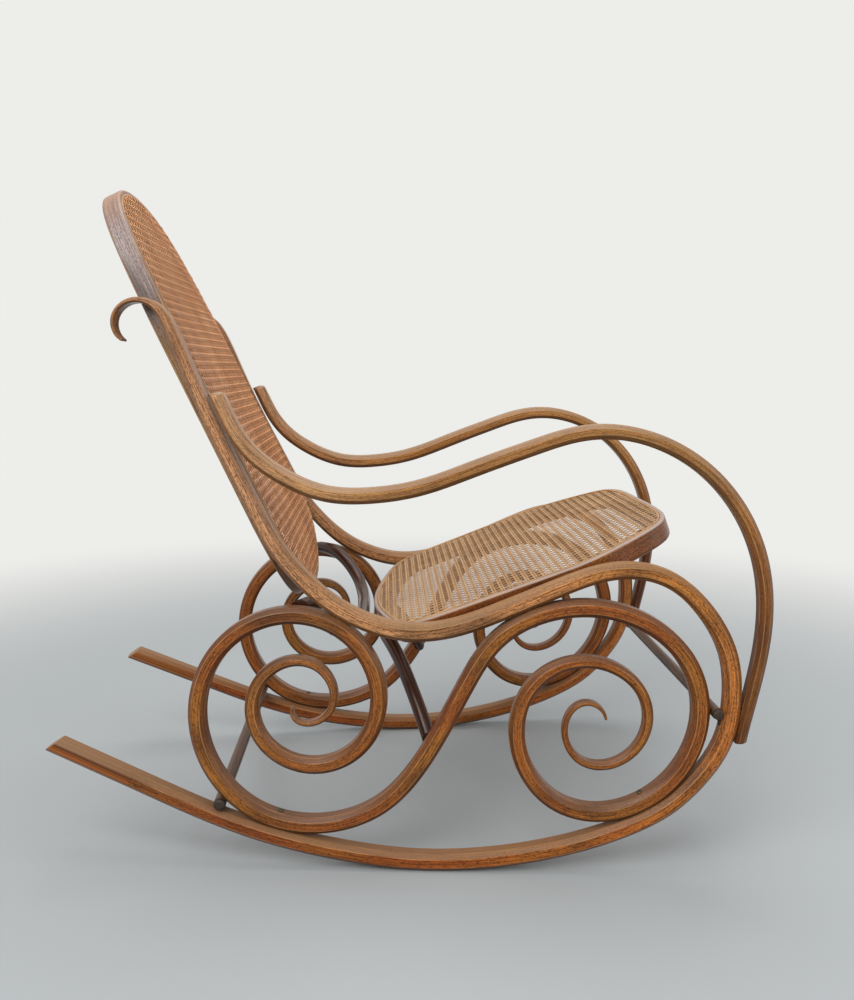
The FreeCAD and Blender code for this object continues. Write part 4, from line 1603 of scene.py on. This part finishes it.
@dataclass(frozen=True)
class BentBeech:
    """Steamed beech under an old amber varnish.

    Beech gives the eye a calm, warm ground with short dark flecks along the grain. The
    varnish gives it a soft gloss, worn off the arrises, where the pale worn line also paints a
    highlight. Dust dulls what faces up, which is also painted with a sheen of the sky, and
    what faces down is painted with shade and some grime.
    """

    name: str
    tones: tuple[tuple[float, str], ...]  # place along the piece, 0 to 1, and colour
    length: float  # of the piece, mm
    dark: str = "#331705"
    # On the arrises: bare wood; where it is pale it also paints a highlight
    edge_tone: str = "#C3935F"
    # Of faces turned up: dust and a painted sheen of the sky
    dust_and_sheen: str = "#A58C72"
    gold: str = "#B9792B"
    side: str = "#532A10"
    golden: float = 0.45  # most that each layer covers, from here on
    lines: float = 0.5
    pores: float = 0.55
    flecks: float = 0.7
    patches: float = 0.5
    edge_tone_share: float = 0.7
    dust_and_sheen_share: float = 0.5
    # Painted shade, with some grime, on faces that turn down
    grime_and_shade: float = 0.6
    sides: float = 0.0  # how much darker the faces are that turn away from the frames' flat sides
    streaky: float = 0.18  # of the roughness, from streak to streak
    ior: float = 1.5  # of varnish
    roughness: float = 0.3
    specular: float = 0.3
    streak_size: Pair = (150.0, 1.9)  # along and across the grain, mm
    fleck_size: Pair = (4.4, 1.2)  # coarser than real, so as to show
    pore_size: Pair = (40.0, 1.3)  # coarser than real, so as to show
    patch_size: Pair = (150.0, 45.0)  # of old, darkened varnish
    cloud_size: Pair = (210.0, 60.0)  # of thin varnish that shines gold
    scuff_size: Pair = (75.0, 9.0)  # of bare wood on an arris, whose pale line also paints a highlight
    fleck_depth: float = 0.8  # of a fleck, in the pores' own depth
    relief: Pair = (0.35, 0.0003)  # strength and height, in metres

    def _layers(self, tree: Tree) -> dict[str, Node]:
        """Find how much of each layer shows at a place, and the noises behind them.

        Args:
            tree: The material's node tree.

        Returns:
            The nodes by name: noises in the plural, and the layers' shares.
        """
        rod = add(tree, "ShaderNodeAttribute", attribute_name="rod")
        edge = add(tree, "ShaderNodeAttribute", attribute_name="edge")
        facing = add(tree, "ShaderNodeNewGeometry")
        up = add(tree, "ShaderNodeSeparateXYZ", {0: facing.outputs["Normal"]})
        flank = add(tree, "ShaderNodeMath", {0: up.outputs["Y"]}, operation="ABSOLUTE")
        found = {}
        for name, (along, across), detail in (
                ("streaks", self.streak_size, 4.0), ("flecks", self.fleck_size, 2.0),
                ("pores", self.pore_size, 3.0), ("patches", self.patch_size, 3.0),
                ("clouds", self.cloud_size, 2.0), ("scuffs", self.scuff_size, 4.0)):
            vector = add(tree, "ShaderNodeVectorMath", {
                0: rod.outputs["Vector"], 1: (1 / along, 1 / across, 1 / across)},
                operation="MULTIPLY")
            found[name] = add(tree, "ShaderNodeTexNoise", {
                "Vector": vector, "Scale": 1.0, "Detail": detail, "Roughness": 0.55})
        # What each layer goes by, where it starts, where it is full, and its most
        for name, source, low, high, most in (
                ("gold", found["clouds"], 0.45, 0.65, self.golden),
                ("line", found["streaks"], 0.45, 0.62, self.lines),
                ("patch", found["patches"], 0.52, 0.72, self.patches),
                ("pore", found["pores"], 0.46, 0.66, self.pores),
                ("fleck", found["flecks"], 0.5, 0.62, self.flecks),
                ("side", flank, 0.96, 0.72, self.sides),
                ("scuff", found["scuffs"], 0.36, 0.62, self.edge_tone_share),
                # Arrises: a pale line of wear that also paints a highlight
                ("arris", edge.outputs["Fac"], 0.35, 1.0, 1.0),
                # Faces turned up: dust, with a painted sheen of the sky
                ("dust_and_sheen", up.outputs["Z"], 0.3, 0.85, self.dust_and_sheen_share),
                # Faces turned down: painted shade, with some grime
                ("grime_and_shade", up.outputs["Z"], -0.1, -0.9, self.grime_and_shade)):
            found[name] = add(tree, "ShaderNodeMapRange", {
                "Value": source, "From Min": low, "From Max": high, "To Max": most},
                interpolation_type="SMOOTHSTEP")
        found["edge_tone"] = add(tree, "ShaderNodeMath", {0: found["arris"], 1: found["scuff"]},
                            operation="MULTIPLY")
        split = add(tree, "ShaderNodeSeparateXYZ", {0: rod.outputs["Vector"]})
        found["place"] = add(tree, "ShaderNodeMath", {0: split, 1: self.length},
                             operation="DIVIDE")
        return found

    def build(self) -> Material:
        """Make the material.

        Returns:
            The material, for pieces that have the marks rod and edge.
        """
        material, tree = new_material(self.name)
        share = self._layers(tree)
        ramp = add(tree, "ShaderNodeValToRGB", {"Fac": share["place"]})
        while len(ramp.color_ramp.elements) < len(self.tones):
            ramp.color_ramp.elements.new(0.5)
        for element, (at, code) in zip(ramp.color_ramp.elements, self.tones):
            element.position = at
            element.color = colour(code)
        tone = ramp.outputs["Color"]
        for layer, code in (("gold", self.gold), ("line", self.dark), ("patch", self.dark),
                            ("pore", self.dark), ("fleck", self.dark), ("side", self.side),
                            # The arris line also paints a highlight, the tops a sheen and the
                            # undersides shade
                            ("edge_tone", self.edge_tone), ("dust_and_sheen", self.dust_and_sheen), ("grime_and_shade", self.dark)):
            over = add(tree, "ShaderNodeMix", {0: share[layer], MIX_A: tone,
                                               MIX_B: colour(code)}, data_type="RGBA")
            tone = over.outputs[MIX_OUT]
        # Duller along streaks, where the varnish is worn off, and under dust on faces turned up,
        # which the same mask also paints with a sheen
        rough = self.roughness - self.streaky / 2
        for layer, more in (("streaks", self.streaky), ("edge_tone", 0.25), ("dust_and_sheen", 0.4)):
            rough = add(tree, "ShaderNodeMath", {0: share[layer], 1: more, 2: rough},
                        operation="MULTIPLY_ADD")
        # Pores and sunken flecks a fraction of a millimetre deep
        height = add(tree, "ShaderNodeMath", {
            0: share["fleck"], 1: -self.fleck_depth, 2: share["pores"]},
            operation="MULTIPLY_ADD")
        strength, high = self.relief
        bump = add(tree, "ShaderNodeBump", {"Strength": strength, "Distance": high,
                                            "Height": height})
        return end_material(material, {
            "Base Color": tone, "Roughness": rough, "IOR": self.ior,
            "Specular IOR Level": self.specular, "Normal": bump})


@dataclass(frozen=True)
class WovenCane:
    """Peeled rattan cane, split and shaved flat.

    Its hard outer skin gives the eye a soft gloss on every strand; strands differ a little
    in tone, with darker joints and age spots along them.
    """

    name: str
    light: str
    middle: str
    dark: str
    # Dust and painted shade beside the strands' crowns
    soil_and_shade: str = "#4A2C14"
    grime_and_shade: float = 0.5  # beside the crown of a strand, where dust settles and shade between strands is painted
    ior: float = 1.5  # of rattan's own glassy skin
    roughness: float = 0.42
    specular: float = 0.3
    spot_length: float = 38.0  # of an age spot along a strand, mm
    apart: float = 400.0  # far enough in the noise for each strand to differ
    stain_scale: float = 9.0  # per metre: stains about 110 mm across
    tone_range: Pair = (0.55, 1.75)  # what is darkest and what is lightest
    flanks: Pair = (0.4, 0.05)  # crown where the grime and painted shade start and are full
    uneven: float = 0.2  # of the roughness, from spot to spot

    def build(self) -> Material:
        """Make the material.

        Returns:
            The material, for strands that have the marks strand, run and crown.
        """
        material, tree = new_material(self.name)
        strand, run, crown = (add(tree, "ShaderNodeAttribute", attribute_name=mark).outputs["Fac"]
                              for mark in ("strand", "run", "crown"))
        along = add(tree, "ShaderNodeMath", {0: run, 1: self.spot_length}, operation="DIVIDE")
        number = add(tree, "ShaderNodeMath", {0: strand, 1: self.apart}, operation="MULTIPLY")
        spot = add(tree, "ShaderNodeCombineXYZ", {"X": along, "Y": number})
        spots = add(tree, "ShaderNodeTexNoise",
                    {"Vector": spot, "Scale": 1.0, "Detail": 3.0, "Roughness": 0.6})
        where = add(tree, "ShaderNodeTexCoord")
        stains = add(tree, "ShaderNodeTexNoise", {
            "Vector": where.outputs["Object"], "Scale": self.stain_scale, "Detail": 2.0})
        # Each strand's own tone, its age spots and the panel's stains, from dark to light
        tone = strand
        for noise, part in ((spots, 0.6), (stains, 0.9)):
            tone = add(tree, "ShaderNodeMath", {0: noise, 1: part, 2: tone},
                       operation="MULTIPLY_ADD")
        darkest, lightest = self.tone_range
        share = add(tree, "ShaderNodeMapRange",
                    {"Value": tone, "From Min": darkest, "From Max": lightest})
        ramp = add(tree, "ShaderNodeValToRGB", {"Fac": share})
        ramp.color_ramp.elements[0].color = colour(self.dark)
        ramp.color_ramp.elements[1].color = colour(self.light)
        ramp.color_ramp.elements.new(0.5).color = colour(self.middle)
        # Darker beside each strand's crown: dust in the weave and painted shade between strands
        start, full = self.flanks
        low = add(tree, "ShaderNodeMapRange", {
            "Value": crown, "From Min": start, "From Max": full, "To Max": self.grime_and_shade},
            interpolation_type="SMOOTHSTEP")
        soiled_and_shaded = add(tree, "ShaderNodeMix", {0: low, MIX_A: ramp, MIX_B: colour(self.soil_and_shade)},
                     data_type="RGBA")
        rough = add(tree, "ShaderNodeMath", {
            0: spots, 1: self.uneven, 2: self.roughness - self.uneven / 2},
            operation="MULTIPLY_ADD")
        return end_material(material, {
            "Base Color": soiled_and_shaded.outputs[MIX_OUT], "Roughness": rough, "IOR": self.ior,
            "Specular IOR Level": self.specular})


@dataclass(frozen=True)
class OldIron:
    """Blackened wrought iron, dull and pitted by hand forging and rust.

    The pits give the eye a broken, speckled gloss, with rust brown in the deeper ones.
    """

    name: str
    ground: str = "#3A3733"
    rust: str = "#5A4234"
    roughness: float = 0.62
    metallic: float = 0.7
    pit_scale: float = 420.0  # per metre: pits about 2.4 mm apart
    rusting: Pair = (0.42, 0.68)  # where rust starts and is full
    uneven: float = 0.25  # of the roughness, from pit to pit
    smoothest: float = 0.12  # how far the least rough is under the roughness
    relief: Pair = (0.6, 0.0006)  # strength and depth, in metres

    def build(self) -> Material:
        """Make the material.

        Returns:
            The material.
        """
        material, tree = new_material(self.name)
        where = add(tree, "ShaderNodeTexCoord")
        pits = add(tree, "ShaderNodeTexNoise", {
            "Vector": where.outputs["Object"], "Scale": self.pit_scale, "Detail": 4.0})
        ramp = add(tree, "ShaderNodeValToRGB", {"Fac": pits})
        for element, at, code in zip(ramp.color_ramp.elements, self.rusting,
                                     (self.ground, self.rust)):
            element.position = at
            element.color = colour(code)
        rough = add(tree, "ShaderNodeMath", {
            0: pits, 1: self.uneven, 2: self.roughness - self.smoothest},
            operation="MULTIPLY_ADD")
        strength, deep = self.relief
        bump = add(tree, "ShaderNodeBump", {"Strength": strength, "Distance": deep,
                                            "Height": pits})
        return end_material(material, {
            "Base Color": ramp, "Metallic": self.metallic, "Roughness": rough, "Normal": bump})


def finishes() -> dict[str, Material]:
    """Make all materials of the chair.

    Returns:
        The material of each kind of piece.
    """
    # Bare and dusty at the hook, honey on the seat rail, red brown down to the floor
    rail = BentBeech("beech_varnished_rail", (
        (0.0, "#BC7E4C"), (0.1, "#DEA274"), (0.26, "#DC9C66"), (0.38, "#DC8A3E"),
        (0.55, "#CA6E26"), (0.68, "#A4521A"), (1.0, "#944A1C")), length=3000.0, sides=0.35,
        dust_and_sheen="#A07E58", lines=0.45, golden=0.35)
    # Thicker varnish out of the hand's reach: even amber that keeps its gloss
    scroll = BentBeech("beech_varnished_scroll", (
        (0.0, "#B26E32"), (0.12, "#A86022"), (0.4, "#A4561C"), (0.6, "#B4641E"),
        (0.85, "#AC601E"), (1.0, "#B4702E")), length=4200.0, patches=0.55, sides=0.55,
        dust_and_sheen_share=0.15, edge_tone_share=0.6, golden=0.6)
    # Rubbed pale where arms rest, still dark with old varnish down the front drop
    arm = BentBeech("beech_varnished_arm", (
        (0.0, "#DAA67A"), (0.16, "#CE9862"), (0.3, "#B67B3E"), (0.6, "#C48C52"),
        (0.68, "#AA6E34"), (0.78, "#703A18"), (0.86, "#5C2C10"), (0.94, "#6A3612"),
        (1.0, "#7A4216")), length=1350.0, flecks=0.45, patches=0.3, lines=0.4, sides=0.3,
        golden=0.3)
    # Its varnish is gone, so dust and flecks make it dull; its greyish brown top is dust and a
    # painted sheen of the sky
    seat_hoop = BentBeech("beech_varnished_seat_hoop", (
        (0.0, "#8E4E22"), (0.5, "#95551F"), (1.0, "#8E4E22")), length=1560.0, flecks=0.9,
        dust_and_sheen="#B8A79E", dust_and_sheen_share=0.8)
    # Painted grey at both upper corners, for the sky's reflection there; warm at the foot
    back_hoop = BentBeech("beech_varnished_back_hoop", (
        (0.0, "#B07848"), (0.29, "#A88058"), (0.33, "#A5918A"), (0.395, "#A8948E"),
        (0.43, "#AE7444"), (0.57, "#AE7444"), (0.605, "#A8948E"), (0.67, "#A5918A"),
        (0.71, "#A88058"), (1.0, "#B07848")), length=1900.0, flecks=0.55, golden=0.1,
        dust_and_sheen="#B3A29A", dust_and_sheen_share=0.35, patches=0.6)
    # Stained and varnished almost black, with the hardest gloss of all
    brace = BentBeech("beech_stained_black_brown", (
        (0.0, "#4A2412"), (1.0, "#4A2412")), length=700.0, dark="#160A05", edge_tone="#6A4A36",
        gold="#4A2814", dust_and_sheen="#523A2C", dust_and_sheen_share=0.15, roughness=0.18, specular=0.35,
        flecks=0.3)
    # Turned and stained: dark and plain, with a little dust and painted sheen on top
    stretcher = BentBeech("beech_turned_dowel", (
        (0.0, "#5E381E"), (1.0, "#683E22")), length=520.0, dark="#2A1508", dust_and_sheen="#7A6656",
        gold="#6E4826", flecks=0.6, dust_and_sheen_share=0.25)
    # Whole split rattan: pale straw, its grain finer and its skin worn to red brown
    reed = BentBeech("rattan_reed", (
        (0.0, "#C8995C"), (0.5, "#BC8849"), (1.0, "#C8995C")), length=1900.0, dark="#6E4320",
        edge_tone="#8A4A1C", gold="#D0A468", dust_and_sheen="#C9AE88", flecks=0.25, patches=0.25, edge_tone_share=0.9,
        dust_and_sheen_share=0.15, grime_and_shade=0.2, streak_size=(60.0, 1.0))
    made = {
        "side_rail": rail, "scroll": scroll, "arm": arm, "seat_hoop": seat_hoop,
        "back_hoop": back_hoop, "brace": brace, "stretcher": stretcher, "reed": reed,
        # The seat's cane is a dusty straw brown, the back's was varnished and went redder
        "seat_cane": WovenCane("rattan_cane_natural", "#D6AE80", "#B88D60", "#8C6136"),
        "back_cane": WovenCane("rattan_cane_aged_red", "#FFC692", "#DE965C", "#A8642E",
                               grime_and_shade=0.85),
        "iron": OldIron("wrought_iron_blackened"),
        # Turned screws are smoother and paler than the forged caps
        "steel": OldIron("steel_screw_aged", "#5E564C", "#3E3026", 0.5, 0.8)}
    return {kind: finish.build() for kind, finish in made.items()}


# Studio


@dataclass(frozen=True)
class Lamp:
    """Soft square white lamp aimed at the chair."""

    name: str
    place: Triple  # metres
    size: float  # metres
    power: float  # watts
    aim: Triple = (0.0, 0.0, 0.5)  # metres

    def build(self) -> None:
        """Hang the lamp."""
        data = bpy.data.lights.new(self.name, "AREA")
        data.shape = "SQUARE"
        data.size = self.size
        data.energy = self.power
        lamp = bpy.data.objects.new(self.name, data)
        lamp.location = self.place
        way = Vector(self.aim) - lamp.location
        lamp.rotation_euler = way.to_track_quat("-Z", "Y").to_euler()
        bpy.context.scene.collection.objects.link(lamp)


@dataclass(frozen=True)
class Studio:
    """Pale floor and surround, soft light and the camera of the photograph."""

    surround: str = "#EDEDEA"
    sky: str = "#F4F7FA"
    floor_colour: str = "#B0B4B5"
    floor_roughness: float = 0.75
    ambient: float = 0.42  # strength of the light from all round
    floor_reach: float = 12.0  # metres each way
    fade: Pair = (0.9, 2.6)  # metres from the chair
    lamps: tuple[Lamp, ...] = (
        Lamp("key", (-1.6, -2.6, 3.0), 2.4, 95.0),
        Lamp("overhead", (0.2, 0.4, 3.2), 2.4, 45.0),
        Lamp("fill", (2.8, -1.2, 1.6), 2.2, 22.0))
    camera_place: Triple = (-22.288, -1530.26, 756.71)  # mm, from below the chair's middle
    forward: Triple = (0.046592, 0.987864, -0.148166)  # the way the camera looks
    up: Triple = (0.007232, 0.147990, 0.988963)
    focal_pixels: float = 891.857
    picture_height: float = 1000.0  # pixels
    sensor: float = 36.0
    clip_start: float = 0.05  # metres

    def _seen(self, tree: Tree) -> Socket:
        """Tell the rays that show a colour as it is from those that light the object.

        Args:
            tree: The node tree that asks.

        Returns:
            1 for a ray from the camera, by gloss or through glass.
        """
        path = add(tree, "ShaderNodeLightPath")
        seen = path.outputs["Is Camera Ray"]
        for ray in ("Is Glossy Ray", "Is Transmission Ray"):
            both = add(tree, "ShaderNodeMath", {0: seen, 1: path.outputs[ray]},
                       operation="MAXIMUM")
            seen = both.outputs[0]
        return seen

    def world(self) -> None:
        """Even light from all round, with a pale background of its own."""
        world = bpy.data.worlds.new("studio")
        bpy.context.scene.world = world
        world.use_nodes = True
        tree = world.node_tree
        tree.nodes.clear()
        light = add(tree, "ShaderNodeBackground",
                    {"Color": colour(self.sky), "Strength": self.ambient})
        backdrop = add(tree, "ShaderNodeBackground",
                       {"Color": colour(self.surround), "Strength": 1.0})
        mix = add(tree, "ShaderNodeMixShader", {0: self._seen(tree), 1: light, 2: backdrop})
        add(tree, "ShaderNodeOutputWorld", {"Surface": mix})

    def floor(self) -> Object:
        """Lay a plain floor of pale plaster, matt and even, that fades into the surround.

        Returns:
            The floor.
        """
        r = self.floor_reach
        mesh = bpy.data.meshes.new("floor")
        mesh.from_pydata([(-r, -r, 0), (r, -r, 0), (r, r, 0), (-r, r, 0)], [], [(0, 1, 2, 3)])
        material, tree = new_material("plaster_floor_pale")
        shader = add(tree, "ShaderNodeBsdfPrincipled", {
            "Base Color": colour(self.floor_colour), "Roughness": self.floor_roughness})
        glow = add(tree, "ShaderNodeEmission", {"Color": colour(self.surround), "Strength": 1.0})
        where = add(tree, "ShaderNodeTexCoord")
        far = add(tree, "ShaderNodeVectorMath", {0: where.outputs["Object"]},
                  operation="LENGTH")
        start, end = self.fade
        away = add(tree, "ShaderNodeMapRange", {
            "Value": far.outputs["Value"], "From Min": start, "From Max": end},
            interpolation_type="SMOOTHSTEP")
        share = add(tree, "ShaderNodeMath", {0: away, 1: self._seen(tree)},
                    operation="MULTIPLY")
        mix = add(tree, "ShaderNodeMixShader", {0: share, 1: shader, 2: glow})
        add(tree, "ShaderNodeOutputMaterial", {"Surface": mix})
        mesh.materials.append(material)
        return new_object("floor", mesh)

    def camera(self) -> None:
        """Camera at the photograph's viewing angle."""
        data = bpy.data.cameras.new("photograph")
        data.lens = self.focal_pixels * self.sensor / self.picture_height
        data.sensor_width = self.sensor
        data.sensor_fit = "AUTO"
        data.clip_start = self.clip_start
        camera = bpy.data.objects.new("photograph", data)
        forward = Vector(self.forward).normalized()
        up = Vector(self.up).normalized()
        right = forward.cross(up).normalized()
        turn = Matrix((right, right.cross(forward), -forward)).transposed()
        place = Vector(self.camera_place) * MILLIMETRE
        camera.matrix_world = Matrix.Translation(place) @ turn.to_4x4()
        bpy.context.scene.collection.objects.link(camera)
        bpy.context.scene.camera = camera

    def build(self) -> None:
        """Set up floor, surround, light and camera."""
        bpy.context.scene.view_settings.view_transform = "Standard"
        self.world()
        self.floor()
        for lamp in self.lamps:
            lamp.build()
        self.camera()
        log.info("studio: %d lamps", len(self.lamps))


def main() -> None:
    """Build the chair and its studio."""
    logging.basicConfig(level=logging.INFO, format="%(message)s")
    kinds = finishes()
    SideFrames().build(kinds)
    SeatAndBack().build(kinds)
    CrossPieces().build(kinds)
    Screws().build(kinds["steel"])
    Studio().build()


if __name__ == "__main__":
    main()
